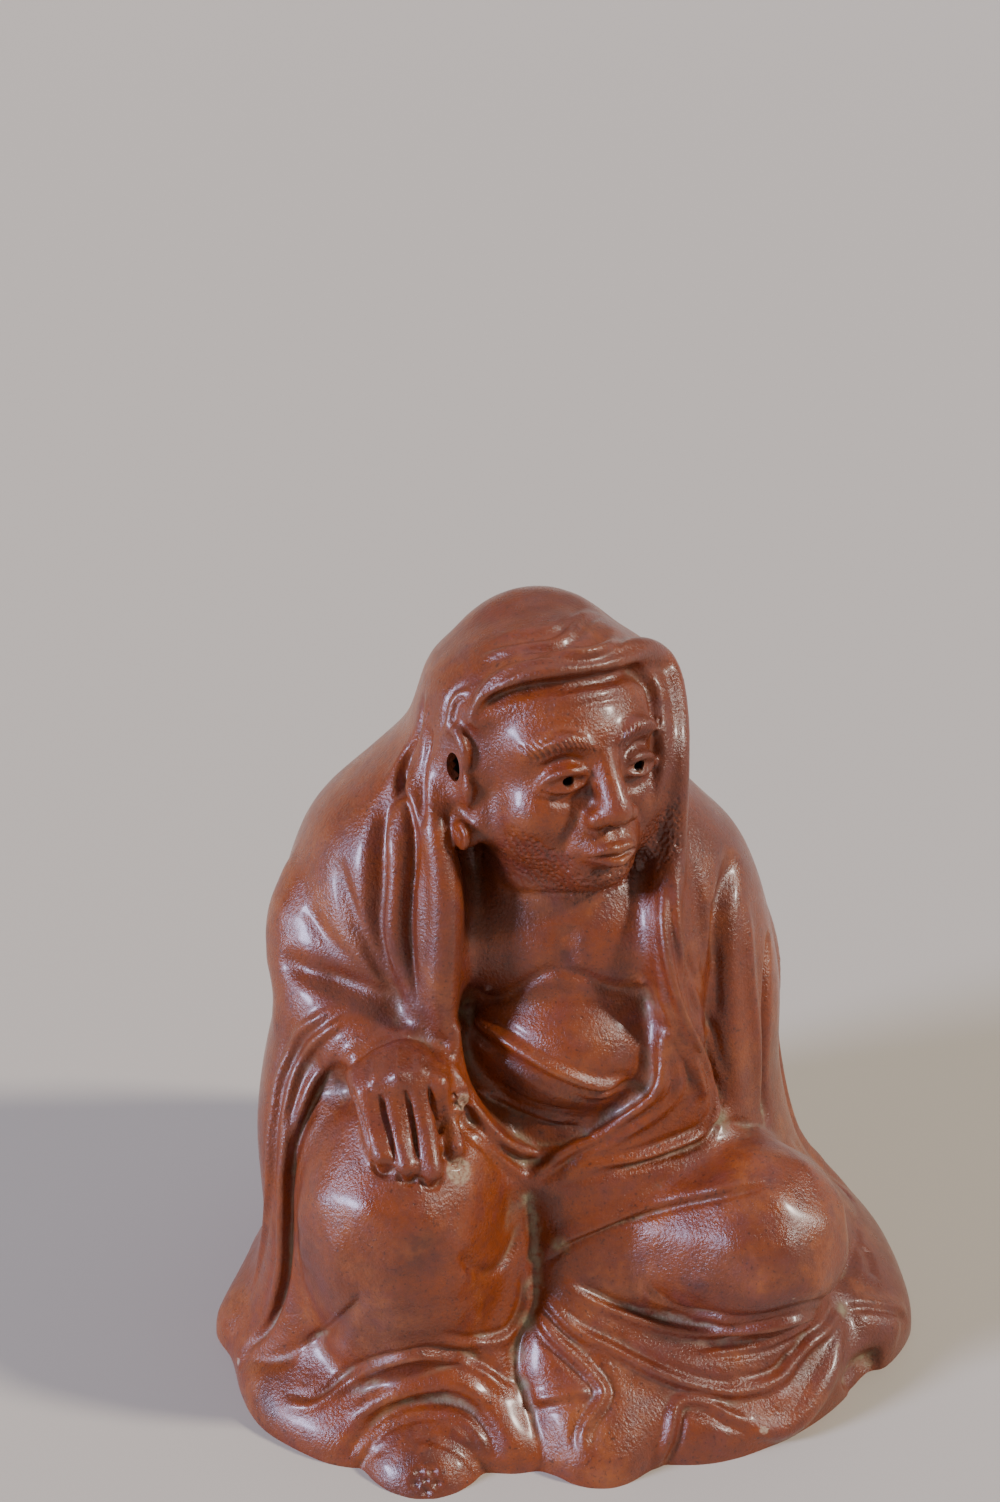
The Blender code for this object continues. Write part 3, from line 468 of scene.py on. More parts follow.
def ring_points(station, around=180, hem=None):
    """One level of the cloak: four quarter ovals that meet at its widest place.

    Near the floor it follows the waves of the hem, which die out above.
    """
    z, left, right, front, back, widest = station
    middle_x = (left + right) / 2
    points = []
    for i in range(around):
        turn = 2 * math.pi * i / around
        c, s = math.cos(turn), math.sin(turn)
        reach_x = right - middle_x if c > 0 else middle_x - left
        reach_y = back - widest if s > 0 else widest - front
        squareness = RIGHT_SQUARENESS if c > 0 else LEFT_SQUARENESS
        x = middle_x + reach_x * math.copysign(abs(c) ** (2 / squareness), c)
        y = widest + reach_y * math.copysign(abs(s) ** (2 / squareness), s)
        if hem:
            length = math.hypot(x, y)
            reach = np.interp(math.atan2(y, x), *hem, period=2 * math.pi)
            share = math.exp(-((max(z, 0) / HEM_RISE) ** 2))
            grown = length + (reach - length - HEM_DRAW_IN * max(z - HEM_LIP, 0)) * share
            x, y = x * grown / length, y * grown / length
        points.append((x, y, z))
    return points


def opened_cloak():
    """The closed cloak, fused with the dome of the hood, with its front opening cut out."""
    wedge, cloak = [], []
    wedge_ends = [[seen(*pixel, depth) for pixel in OPENING[::-1]] for depth in (OPENING_BACK, -100)]
    add_skin(wedge, wedge_ends)
    hem = hem_reach()
    add_skin(cloak, [ring_points(level, hem=hem) for level in through(CLOAK, 90)])
    add_skin(cloak, [ring_points(level) for level in through(SLEEVE_FALL, 30)])
    add_ball(cloak, (-3.5, 4, 122), (24.5, 27, 27.5))
    add_ball(cloak, (-6, 14, 125.6), (21, 20, 24.6))
    whole = worked(
        mesh_of(cloak),
        ("REMESH", {"mode": "VOXEL", "voxel_size": ROUGH_GRAIN, "adaptivity": 0}),
    )
    return cut_away(whole, wedge)


def add_legs(clay):
    """The raised right leg, the folded left thigh and its shin, under the cloak."""
    add_roll(clay, [(-20, 5, 42), (-31, -27, 48), (-31, -29, 28), (-29, -25, 5)], [20, 20, 20.5, 18])
    add_roll(clay, [(0, -4, 25), (18, -17, 29), (35, -24, 31.5)], [17, 18.5, 20])
    add_roll(clay, [(42, -26, 9), (22, -35, 9), (-2, -36, 9)], [12, 12, 12])


def add_right_arm(clay):
    """The forearm in its sleeve, from the elbow to the wrist."""
    add_roll(clay, [(-37, 8, 96), (-44, 2, 86), (-44, -8, 75)], [15, 15, 12.5])
    add_roll(clay, [(-46, -8, 72), seen(352, 1030, -16), seen(388, 1052, -21)], [11.5, 9.5, 7])


def add_body(clay):
    """The bare chest and belly, and the lap behind the crossing of the cloak."""
    add_ball(clay, seen(563, 922, 1), (28, 20, 20))
    add_ball(clay, seen(512, 942, -8), (15, 9, 11))
    add_ball(clay, seen(622, 940, -8), (14, 9, 11))
    add_ball(clay, seen(567, 1020, -5), (21, 22, 16))
    add_ball(clay, seen(538, 1036, -2), (22, 19, 15))
    add_ball(clay, seen(558, 1092, -4), (26, 22, 15))
    add_ball(clay, seen(478, 960, 4), (10, 14, 22))
    add_ball(clay, seen(468, 850, 5), (9, 11, 16))


def add_hood_edge(clay, tree):
    """The rolled edge of the hood over the brow, and the rounded edges of its two falls."""
    brow = [(474, 722), (490, 692), (520, 676), (560, 668), (605, 660), (640, 652), (662, 664),
            (673, 700), (676, 760), (673, 850), (667, 930), (673, 1000), (688, 1046), (704, 1092)]
    add_roll(clay, laid(tree, on_picture, brow, 0.1),
             [1.6, 2.6, 3, 3, 2.9, 2.8, 2.7, 2.6, 2.6, 2.8, 3, 2.8, 2.2, 1.0])
    left = [(424, 740), (426, 782), (432, 825), (444, 868), (447, 912), (444, 977), (442, 1030)]
    add_roll(clay, laid(tree, on_picture, left, -1.4), [1.6, 2.2, 2.6, 3, 3, 3, 2.6])
    lip = [(452, 1030), (458, 1075), (474, 1110), (498, 1138), (530, 1154), (562, 1152), (590, 1140)]
    add_roll(clay, laid(tree, on_picture, lip, 0.2), [1.6, 2, 2.1, 2.1, 2, 1.8, 1.5])
    crossing = [(664, 1040), (662, 1085), (640, 1112), (605, 1134), (570, 1152), (536, 1172)]
    add_roll(clay, laid(tree, on_picture, crossing, 0.2), [1.5, 1.9, 1.9, 1.8, 1.6, 1.2])


def add_head(clay):
    """The large forms of the head: skull, jaw, chin, cheeks and the ridge of the brow."""
    frame = head_frame()
    add_ball(clay, (0, 2, 5), (19.5, 20.5, 18.5), frame=frame)
    add_ball(clay, (0, -1.5, -8), (18, 15.5, 14.5), frame=frame)
    add_ball(clay, (0, 3, -18), (15.5, 14, 14), frame=frame)
    add_ball(clay, (0, -11.5, -17.5), (7.5, 5.5, 5.5), frame=frame)
    add_ball(clay, (0, -12.6, -12.5), (8.5, 6, 6), frame=frame)
    add_roll(clay, [(-12, -12.5, 6.2), (0, -15.6, 6.4), (12, -12.5, 6.2)], [3, 3.4, 3], frame=frame)
    for side in (-1, 1):
        add_ball(clay, (side * 9, -8, -6), (8, 8, 7.5), frame=frame)
        add_ear_bed(clay, side, frame)


def add_features(clay):
    """The nose, the mounds of the eyes and of the mouth, and the brows."""
    frame = head_frame()
    add_roll(clay, [(0, -16.2, 5), (0, -18.2, -1), (0, -20.2, -6)], [2.6, 2.8, 3.2], frame=frame)
    add_ball(clay, (0, -15.6, -13.2), (6.2, 4, 4.2), frame=frame)
    for side in (-1, 1):
        add_roll(clay, [(side * 2.8, -17.2, 5.8), (side * 7, -17.4, 7.6), (side * 12.6, -14.2, 6)],
                 [1.3, 1.9, 1.1], frame=frame)
        add_ball(clay, (side * 7.2, -12.9, 0.9), (4.4, 4.1, 3.5), frame=frame)
        add_ball(clay, (side * 3.2, -18.6, -7.2), (2.2, 2.4, 1.9), frame=frame)


def add_ear_bed(clay, side, frame):
    """The thick clay under one ear and its lobe."""
    add_ball(clay, (side * 18.8, -0.6, 1), (2.8, 5, 9.5), frame=frame)
    add_ball(clay, (side * 18.6, -2.6, -8.5), (2.6, 3.2, 4), frame=frame)


def add_fine_features(clay):
    """The lids, the lips, the wings of the nose, and the rims of the ears."""
    frame = head_frame()
    add_roll(clay, [(-4.8, -17.6, -13.9), (-1.6, -19.6, -12.9), (0, -19.6, -13.2), (1.6, -19.6, -12.9),
                    (4.8, -17.6, -13.9)], [0.5, 0.95, 0.9, 0.95, 0.5], frame=frame)
    add_roll(clay, [(-4.2, -17.8, -14.6), (0, -19.2, -15.6), (4.2, -17.8, -14.6)],
             [0.6, 1.25, 0.6], frame=frame)
    for side in (-1, 1):
        add_roll(clay, [(side * 3.1, -16.8, 0.1), (side * 5, -17.5, 1.6), (side * 7.4, -17.4, 2.1),
                        (side * 10, -16, 1.3), (side * 11.8, -14.2, -0.3)],
                 [0.5, 0.85, 0.95, 0.85, 0.5], frame=frame)
        add_roll(clay, [(side * 3.1, -16.8, 0), (side * 5.2, -17.0, -1.0), (side * 7.6, -16.8, -1.5),
                        (side * 10, -15.6, -1.2), (side * 11.8, -14.2, -0.4)],
                 [0.45, 0.6, 0.65, 0.6, 0.45], frame=frame)
        add_roll(clay, [(side * 2.6, -18.2, 5.6), (side * 5.4, -18.4, 7), (side * 9, -17.2, 7.6),
                        (side * 13, -13.9, 5.4)],
                 [0.8, 1.15, 1.1, 0.6], frame=frame)
        add_ear(clay, side, frame)


def add_ear(clay, side, frame):
    """A long-lobed ear: its rim, the lip before its hole, and the ring in its lobe."""
    rim = [(-4.4, 3.2), (-4.6, 6.4), (-2, 9.6), (2, 9.2), (4.3, 5.6), (4.2, 0.6), (2.6, -4),
           (0.4, -8), (-2.2, -9.8)]
    add_roll(clay, [(side * 21, y, z) for y, z in rim], [0.9, 1.2, 1.35, 1.35, 1.4, 1.5, 1.8, 2.3, 2.6],
             frame=frame)
    lip = [(-4, 1.8), (-4.3, -0.8), (-3.4, -3.8)]
    add_roll(clay, [(side * 20.8, y, z) for y, z in lip], [0.9, 1.4, 0.9], frame=frame)
    turns = np.linspace(0, 2 * math.pi, 13)
    ring = [(side * 22.6, -3 + 1.9 * math.cos(turn), -9.6 + 2.1 * math.sin(turn)) for turn in turns]
    add_roll(clay, ring, [0.7, 0.7], frame=frame)


# The fingers of the right hand in the picture: knuckle, middle and tip, and the half width.
FINGERS = [
    ((365, 1092), (376, 1135), (383, 1157), 2.6),
    ((391, 1088), (400, 1135), (407, 1167), 2.6),
    ((415, 1083), (424, 1135), (431, 1172), 2.55),
    ((438, 1083), (447, 1120), (454, 1149), 2.4),
]


def add_hand(clay, tree):
    """The right hand on the raised knee: its back, as a slab of balls, and four fingers."""
    wrist = through([seen(364, 1050, -22), seen(398, 1038, -21), seen(432, 1050, -21)], 5)
    knuckles = through([seen(366, 1088, -31.5), seen(402, 1080, -32.5), seen(438, 1078, -30.5)], 5)
    for share in np.linspace(0, 1, 7):
        for low, high in zip(wrist, knuckles):
            add_ball(clay, low + (high - low) * share, 4.8 - 1.5 * share)
    for knuckle, middle, tip, size in FINGERS:
        points = [seen(*knuckle, -33), *laid(tree, on_picture, [middle, tip], size * 0.42)]
        add_roll(clay, points, [size, size * 0.95, size * 0.82])
    add_roll(clay, [seen(446, 1074, -28), seen(456, 1090, -30), seen(458, 1104, -31)], [2.8, 2.4, 2.0])


def add_shoe(clay):
    """The toe of the right shoe, and the lip of the hem that lies over it."""
    add_ball(clay, (-27, -44, -2), (14, 16.8, 11))
    lip = [seen(300, 1448, -46), seen(323, 1439, -46), seen(350, 1422, -46.5), seen(392, 1397, -46),
           seen(432, 1384, -45), seen(456, 1382, -45), seen(476, 1394, -46), seen(496, 1417, -47),
           seen(516, 1443, -49), seen(540, 1463, -51), seen(556, 1474, -53)]
    add_roll(clay, lip, [1.6, 2.6, 2.8, 2.8, 2.8, 2.8, 2.7, 2.6, 2.4, 2.2, 1.8])


def add_worn_ridge(clay, tree):
    """The broad worn roll of the hem beside the folded knee."""
    ridge = [(842, 1322), (836, 1340), (831, 1364), (820, 1388), (804, 1411), (783, 1428), (757, 1431)]
    add_roll(clay, laid(tree, on_picture, ridge, -0.9), [1.4, 2.4, 2.9, 3, 3, 2.8, 1.8])


# Broad hollows and swells, drawn before the folds.
HOLLOWS = same_look(
    on_picture,
    # Under the rolled edge of the hood.
    ([(463, 740), (478, 716), (500, 699), (530, 690), (565, 685), (602, 679), (634, 672),
     (651, 686), (657, 716), (655, 760), (650, 810)], 1.1, -2.2),
    # The deep grooves beside the falls of the hood.
    ([(412, 745), (392, 790), (380, 835), (378, 885), (376, 930), (388, 975), (407, 1012)], 2.0,
     -2.6),
    ([(733, 850), (726, 905), (722, 974), (722, 1055), (730, 1120)], 2.4, -3.3),
    ([(690, 860), (702, 930), (712, 1000), (722, 1090)], 1.8, -1.2),
    # The crease between the upper arm and the sleeve of the forearm.
    ([(262, 930), (280, 958), (305, 971), (330, 978), (356, 988), (384, 1003), (410, 1030)], 2.2,
     -2.0),
    # Between the legs, down to the notch of the hem.
    ([(528, 1180), (535, 1230), (535, 1288), (520, 1335), (516, 1375), (530, 1415), (546, 1462)],
     3.6, -2.8),
    ([(580, 1310), (640, 1338), (700, 1345), (770, 1342)], 2.4, -0.9),
    ([(600, 1362), (660, 1392), (720, 1404), (780, 1400)], 2.6, -0.8),
    # Under the folded knee, and the hollow of the right corner.
    ([(560, 1272), (610, 1300), (670, 1316), (747, 1322), (812, 1308), (846, 1270), (854, 1215)],
     1.8, -1.6),
    ([(846, 1392), (856, 1372), (882, 1360)], 2.6, -2.6),
    ([(852, 1318), (876, 1320), (900, 1328)], 3.0, 1.2),
    # Over the shoe, between it and the lip of the hem.
    ([(346, 1462), (360, 1440), (384, 1418), (414, 1406), (446, 1404), (470, 1414), (488, 1438),
     (496, 1462)], 1.6, -2.0),
    # Between the drape and the raised knee.
    ([(340, 1078), (314, 1104), (298, 1130), (288, 1165), (286, 1205), (285, 1250), (275, 1305),
     (240, 1350)], 1.4, -2.0),
    ([(300, 1352), (270, 1360), (238, 1360)], 1.6, -1.2),
)

HOOD_FOLDS = same_look(
    on_picture,
    # Pleats over the crown, the groove above the brow roll, a loop above the ear.
    ([(480, 660), (506, 650), (532, 646), (554, 643), (570, 633), (579, 618), (592, 611),
     (612, 613), (630, 626)], 1.17, 0.6, (0.5, 0.5)),
    ([(490, 640), (512, 633), (538, 629), (560, 622), (576, 612)], 1.17, 0.35, -0.4),
    ([(500, 656), (540, 655), (583, 651), (605, 645), (618, 634), (632, 629)], 1.04, 0.55,
     (0.3, 0.6)),
    ([(478, 700), (494, 682), (520, 666), (550, 661), (590, 660), (620, 652), (645, 643)], 1.1,
     -0.9),
    ([(469, 691), (456, 697), (450, 713), (448, 734)], 0.91, 0.5, (0.6, 0.6)),
    # The band that falls from the hood on the viewer's left.
    ([(424, 692), (420, 726), (408, 758), (404, 783), (407, 809), (412, 834), (413, 863),
     (410, 895), (409, 927), (411, 959), (419, 1008)], 1.0, -1.8),
    ([(428, 692), (425, 722), (413, 752), (409, 783), (412, 806), (420, 830)], 1.04, 0.5),
    ([(430, 725), (424, 758), (421, 783), (422, 812), (425, 828)], 1.04, -1.2),
    ([(408, 745), (396, 790), (393, 830), (395, 868), (392, 933), (398, 985)], 1.9, 1.2),
    ([(434, 800), (436, 850), (437, 900), (435, 960), (434, 1020)], 3.0, 1.1),
)

RIGHT_SLEEVE_FOLDS = same_look(
    on_picture,
    # Shoulder folds, the elbow, and the long drape down to the floor.
    ([(338, 855), (353, 911), (369, 949), (388, 984), (407, 1019)], (1.2, 2.4), -1.1),
    ([(305, 905), (325, 935), (350, 962), (374, 985)], 1.6, -0.6),
    ([(350, 1001), (318, 1018), (296, 1036), (279, 1075), (272, 1113), (268, 1181), (265, 1228),
     (256, 1275), (246, 1300)], 1.04, 0.7, (0.5, 0.3)),
    ([(352, 1016), (322, 1035), (304, 1056), (294, 1076), (287, 1105), (281, 1157), (278, 1200)],
     1.04, 0.75, (0.5, 0.4)),
    ([(338, 1050), (316, 1078), (303, 1105), (291, 1137), (284, 1181), (281, 1228), (279, 1275),
     (266, 1322), (240, 1348)], 1.17, 0.9, (0.9, 0.4)),
    ([(322, 1099), (309, 1117), (299, 1140), (292, 1166)], 0.91, 0.5),
    ([(338, 1076), (350, 1062), (372, 1046), (398, 1036), (424, 1040), (440, 1062)], 0.78, -0.9),
)

BODY_FOLDS = same_look(
    on_picture,
    ([(471, 987), (487, 1000), (509, 997), (535, 979), (557, 972), (583, 978), (611, 990),
     (648, 995)], (1.8, 0.9), -0.9),
    ([(569, 925), (568, 945), (570, 966)], 2.0, -0.9),
    ([(497, 888), (551, 896), (599, 893), (632, 872)], 1.17, -0.8),
    # The rolled sash, and the double hem of the under-robe below it.
    ([(460, 1003), (480, 1022), (505, 1040), (559, 1072), (603, 1086), (660, 1086)], 1.3, 1.3,
     (0.5, 1.2)),
    ([(470, 1024), (505, 1052), (559, 1083), (603, 1097), (650, 1098)], 0.91, 0.4, -0.6),
    ([(475, 1086), (510, 1102), (550, 1118), (600, 1134)], 0.7, 0.6, -0.6),
    ([(476, 1074), (510, 1090), (555, 1108), (612, 1122)], 0.6, -0.45),
)

LAP_FOLDS = same_look(
    on_picture,
    # The edges of the cloak that meet in the lap.
    ([(452, 1040), (464, 1084), (480, 1116), (502, 1140), (528, 1152), (562, 1152)], 1.17, 0.7,
     (0.3, 0.7)),
    ([(448, 1062), (462, 1104), (486, 1140), (508, 1164), (530, 1178)], 1.17, 0.6, (0.4, 0.5)),
    ([(661, 1060), (658, 1088), (636, 1110), (603, 1132), (570, 1149), (530, 1178)], 1.17, 1.0,
     (0.8, 0.4)),
    ([(674, 1046), (678, 1088), (660, 1112), (618, 1136), (570, 1158)], 1.3, 0.7, (0.3, 0.5)),
    ([(663, 882), (664, 935), (675, 990), (692, 1033), (709, 1077), (716, 1110), (700, 1134),
     (660, 1152), (600, 1168), (546, 1178)], 1.1, 1.0, (0.8, 0.5)),
    ([(676, 870), (680, 935), (692, 990), (708, 1040), (722, 1085)], 1.04, 0.4, (0.4, 0.3)),
    ([(708, 1140), (670, 1156), (633, 1166), (600, 1169), (546, 1178)], 0.91, -0.9),
)

LEFT_SLEEVE_FOLDS = same_look(
    on_picture,
    ([(745, 900), (750, 970), (756, 1030), (762, 1110)], 1.6, 0.9),
    ([(768, 930), (767, 985), (765, 1041), (769, 1126)], 1.3, -2.2),
    ([(780, 990), (784, 1041), (790, 1100), (796, 1132)], 1.0, 0.7),
    ([(712, 900), (716, 960), (718, 1020)], 1.0, -0.6),
)

RAISED_KNEE_FOLDS = same_look(
    on_picture,
    ([(525, 1183), (532, 1209), (536, 1241), (536, 1281), (532, 1310), (518, 1338), (516, 1370),
     (528, 1398), (540, 1445), (546, 1466)], 1.3, -0.8),
    ([(458, 1252), (470, 1268), (486, 1275), (500, 1268), (512, 1248), (519, 1222)], (1.4, 0.8),
     -0.8),
    ([(436, 1338), (473, 1344), (499, 1341), (516, 1330), (528, 1305), (530, 1270)], 1.04, 0.6,
     0.8),
    ([(362, 1288), (356, 1304), (338, 1321), (317, 1336), (290, 1349)], (1.6, 0.8), -1.1),
    ([(280, 1402), (309, 1407), (329, 1398), (353, 1380), (379, 1366), (414, 1357), (449, 1358),
     (479, 1371), (502, 1387), (518, 1394)], 1.17, 0.9, 0.8),
    ([(352, 1464), (366, 1440), (388, 1422), (416, 1412), (444, 1411), (466, 1420), (482, 1440),
     (489, 1462)], 1.04, 0.4, -0.6),
    ([(410, 1428), (438, 1434), (461, 1444), (476, 1458), (484, 1476)], 0.72, -0.5),
    ([(412, 1436), (438, 1442), (459, 1452), (472, 1465), (478, 1478)], 0.72, -0.5),
    ([(356, 1470), (366, 1458), (384, 1448)], 0.72, -0.45),
)

FOLDED_KNEE_FOLDS = same_look(
    on_picture,
    ([(770, 1180), (721, 1190), (681, 1198), (641, 1209), (600, 1225), (563, 1241), (538, 1259)],
     (0.9, 2.4), 1.0, 0.9),
    ([(564, 1284), (590, 1300), (627, 1316), (670, 1329), (708, 1333), (761, 1330), (799, 1321),
     (820, 1311)], 1.04, 0.8, (0.8, 0.4)),
    ([(640, 1283), (655, 1300), (690, 1312), (735, 1321)], 1.04, 0.5, 0.5),
    ([(696, 1355), (724, 1352), (761, 1346), (788, 1336), (812, 1322)], 0.78, 0.6, (0.4, 0.5)),
    ([(700, 1362), (740, 1360), (774, 1351), (800, 1338)], 0.65, 0.3),
    ([(537, 1292), (555, 1310), (579, 1332), (611, 1348), (641, 1364), (670, 1377), (702, 1388),
     (734, 1392), (761, 1388), (783, 1377), (796, 1360), (812, 1342), (830, 1326), (846, 1302)],
     1.17, 0.9, (0.7, 0.4)),
    ([(730, 1383), (756, 1381), (775, 1375), (786, 1364), (793, 1350)], 0.78, 0.6, 0.5),
    ([(534, 1308), (552, 1335), (574, 1356), (592, 1374), (603, 1391), (598, 1406), (588, 1422),
     (583, 1438), (586, 1456)], 1.17, 0.9, (0.6, 0.7)),
    ([(531, 1400), (555, 1396), (590, 1390)], 1.17, 0.7, -0.5),
    ([(654, 1470), (668, 1440), (675, 1409), (686, 1400), (708, 1403), (729, 1415), (754, 1424)],
     1.17, 0.9, (0.3, 0.8)),
    ([(844, 1302), (876, 1304), (907, 1314)], (2.4, 0.9), 0.8, -0.6),
    ([(864, 1246), (870, 1262), (872, 1276)], 1.4, -0.7),
    ([(640, 1150), (700, 1131), (745, 1124), (800, 1146), (845, 1190), (858, 1250)], 1.0, -0.8),
)

BACK_FOLDS = same_look(
    on_side,
    # Folds that fall from the hood and the shoulders to the floor.
    ([(178, 128), (177, 105), (182, 80), (180, 45), (184, 8)], (2.2, 4.5), 1.2, 0.45),
    ([(158, 118), (154, 92), (156, 62), (152, 34), (155, 8)], (4.2, 2.0), 1.15, -0.45),
    ([(205, 120), (209, 92), (207, 66), (212, 36), (209, 8)], (2.0, 4.2), 1.15, 0.45),
    ([(130, 104), (129, 78), (132, 50), (129, 24), (131, 6)], (4.0, 2.0), 1.15, -0.45),
    ([(232, 106), (236, 80), (234, 52), (238, 26), (236, 6)], (2.0, 4.0), 1.15, 0.45),
    ([(104, 84), (107, 58), (104, 34), (108, 8)], (3.6, 1.8), 1.1, -0.45),
    ([(262, 78), (259, 56), (262, 32), (259, 8)], (1.8, 3.6), 1.1, 0.5),
    ([(168, 50), (170, 30), (167, 6)], 2.6, 0.8, 0.3),
    ([(196, 56), (194, 32), (197, 6)], 2.6, 0.8, -0.3),
    ([(118, 40), (120, 22), (117, 6)], 2.4, 0.8, 0.3),
    ([(248, 42), (250, 22), (247, 6)], 2.4, 0.8, -0.3),
)

FOLDS = (HOOD_FOLDS + RIGHT_SLEEVE_FOLDS + BODY_FOLDS + LAP_FOLDS + LEFT_SLEEVE_FOLDS
         + RAISED_KNEE_FOLDS + FOLDED_KNEE_FOLDS + BACK_FOLDS)

# Grooves of the face: above and below the lids and beside the nose on both sides, then the parting
# of the lips, the groove under the nose, the dip above the chin and two lines across the brow.
FACE = [
    (on_face, [(side * x, z) for x, z in spots], width, height)
    for spots, width, height in [
        ([(11.4, 2.8), (7.4, 4.3), (3.4, 2.9)], 0.7, -0.6),
        ([(10.4, -2.8), (7, -3.9), (4, -2.8)], 0.9, -0.4),
        ([(4.8, -6), (7.2, -9.6), (8.2, -13.6)], 1.2, -0.6),
    ]
    for side in (-1, 1)
] + same_look(
    on_face,
    ([(-5.4, -14.3), (-2.4, -14.3), (0, -14.5), (2.4, -14.3), (5.4, -14.3)], 0.4, -0.7),
    ([(0, -9.8), (0, -12)], 1.1, -0.25),
    ([(-4, -17.4), (0, -18.2), (4, -17.4)], 1.0, -0.6),
    ([(-8, 12.2), (0, 13), (8, 12.2)], 0.7, -0.25),
    ([(-7, 15), (0, 15.8), (7, 15)], 0.7, -0.25),
)

# The slits between the fingers and beside them.
HAND = same_look(
    on_picture,
    ([(380, 1094), (384, 1114), (390, 1138), (396, 1163)], 0.42, -1.2),
    ([(405, 1090), (410, 1112), (415, 1140), (420, 1172)], 0.42, -1.2),
    ([(428, 1084), (433, 1104), (439, 1130), (444, 1160)], 0.42, -1.2),
    ([(352, 1086), (360, 1120), (370, 1156)], 0.7, -0.8),
    ([(452, 1094), (460, 1124), (465, 1150)], 0.7, -0.8),
    # The groove under each fingertip.
    ([(371, 1160), (377, 1171), (386, 1174), (395, 1168)], 0.55, -0.7),
    ([(396, 1170), (402, 1181), (411, 1183), (419, 1176)], 0.55, -0.7),
    ([(420, 1176), (427, 1187), (436, 1187), (443, 1177)], 0.55, -0.7),
    ([(446, 1157), (453, 1165), (461, 1163), (465, 1154)], 0.5, -0.6),
    # The tendons over the back of the hand.
    ([(377, 1052), (375, 1070), (374, 1088)], 0.8, 0.35),
    ([(398, 1046), (397, 1064), (397, 1082)], 0.8, 0.35),
    ([(418, 1048), (419, 1062), (420, 1077)], 0.8, 0.35),
)

# Hairs of the brows: how many are combed across each.
BROW_HAIRS = 13


def brow_hairs():
    """Short grooves combed outwards and up across each brow."""
    strokes = []
    for side in (-1, 1):
        for share in np.linspace(0, 1, BROW_HAIRS):
            x = 2.8 + 10 * share
            z = 5.4 + 2.4 * math.sin(math.pi * min(0.1 + share, 1) * 0.8) - 1.1 * share
            start = (side * (x - 0.6), z - 1.5)
            end = (side * (x + 1.0 + 0.4 * share), z + 1.6)
            middle = ((start[0] + end[0]) / 2 + side * 0.15, (start[1] + end[1]) / 2)
            strokes.append((on_face, [start, middle, end], 0.25, -0.34))
    return strokes


# How far apart the dots of the stubble are, in parts.
STUBBLE_PITCH = 0.85


def has_stubble(x, z):
    """Whether a point of the face is on the jaw or the chin, clear of the mouth."""
    below_cheek = z < -15.2 + 0.03 * x * x
    on_jaw = z > -25.5 + 0.03 * x * x
    return below_cheek and on_jaw and (abs(x) > 6.8 or z < -17.4)


def stubble():
    """Pricked dots over the jaw and the chin, in uneven rows."""
    chance = np.random.default_rng(4)
    dots = []
    for row, z in enumerate(np.arange(-26, -7, STUBBLE_PITCH * 0.87)):
        for x in np.arange(-16 + 0.5 * STUBBLE_PITCH * (row % 2), 16, STUBBLE_PITCH):
            x, z_here = chance.normal((x, z), 0.16)
            if has_stubble(x, z_here):
                depth = chance.uniform(0.2, 0.34) * min(1, 0.2 + 0.4 * (z_here + 26))
                dots.append((on_face, (x, z_here), 0.3, -depth))
    return dots


# A blossom of punched dots on the toe of the shoe: a petal dot, five times, round the middle one.
BLOSSOM_CENTRE = (426, 1481)
BLOSSOM_REACH = 11.5
PETAL_TURNS = np.linspace(0.3, 0.3 + math.tau, 6)[:-1]

# The rough break where the thumb is lost, as pits along a spiral across a small oval patch.
BREAK_CENTRE = (462, 1101)
BREAK_REACH = (9, 12)
BREAK_PITS = 15


def round_about(centre, reach, turn):
    """The pixel at a turn round a centre, its reach given across and down, or as one number."""
    across, down = two(reach)
    return centre[0] + across * math.cos(turn), centre[1] + down * math.sin(turn)


def blossom():
    """The dots of the blossom."""
    petals = [(round_about(BLOSSOM_CENTRE, BLOSSOM_REACH, turn), 0.85, -0.8) for turn in PETAL_TURNS]
    return same_look(on_picture, (BLOSSOM_CENTRE, 0.6, -0.7), *petals)


def broken_thumb():
    """The pits of the break, the deepest at every third."""
    pits = []
    for i in range(BREAK_PITS):
        out = (i / (BREAK_PITS - 1)) ** 0.5
        reach = (BREAK_REACH[0] * out, BREAK_REACH[1] * out)
        pits.append((round_about(BREAK_CENTRE, reach, 2.4 * i), 0.55, -0.75 + 0.5 * (i % 3)))
    return same_look(on_picture, *pits)


NIPPLES = same_look(on_picture, ((487, 988), 0.8, 0.7), ((643, 981), 0.8, 0.7))

# Where the carving is finest: a middle and a reach, in parts.
FINE_PLACES = [
    (head_frame() @ Vector((0, -13, -5)), 20),
    (head_frame() @ Vector((-20.5, 0, -1)), 13),
    (head_frame() @ Vector((20.5, 0, -1)), 13),
    (seen(408, 1125, -37), 14),
    (seen(426, 1470, -55), 10),
]


def in_fine_places(places):
    """Which of the places lie where the carving is finest."""
    inside = np.zeros(len(places), bool)
    for middle, reach in FINE_PLACES:
        inside |= np.linalg.norm(places - np.array(middle), axis=1) < reach
    return inside


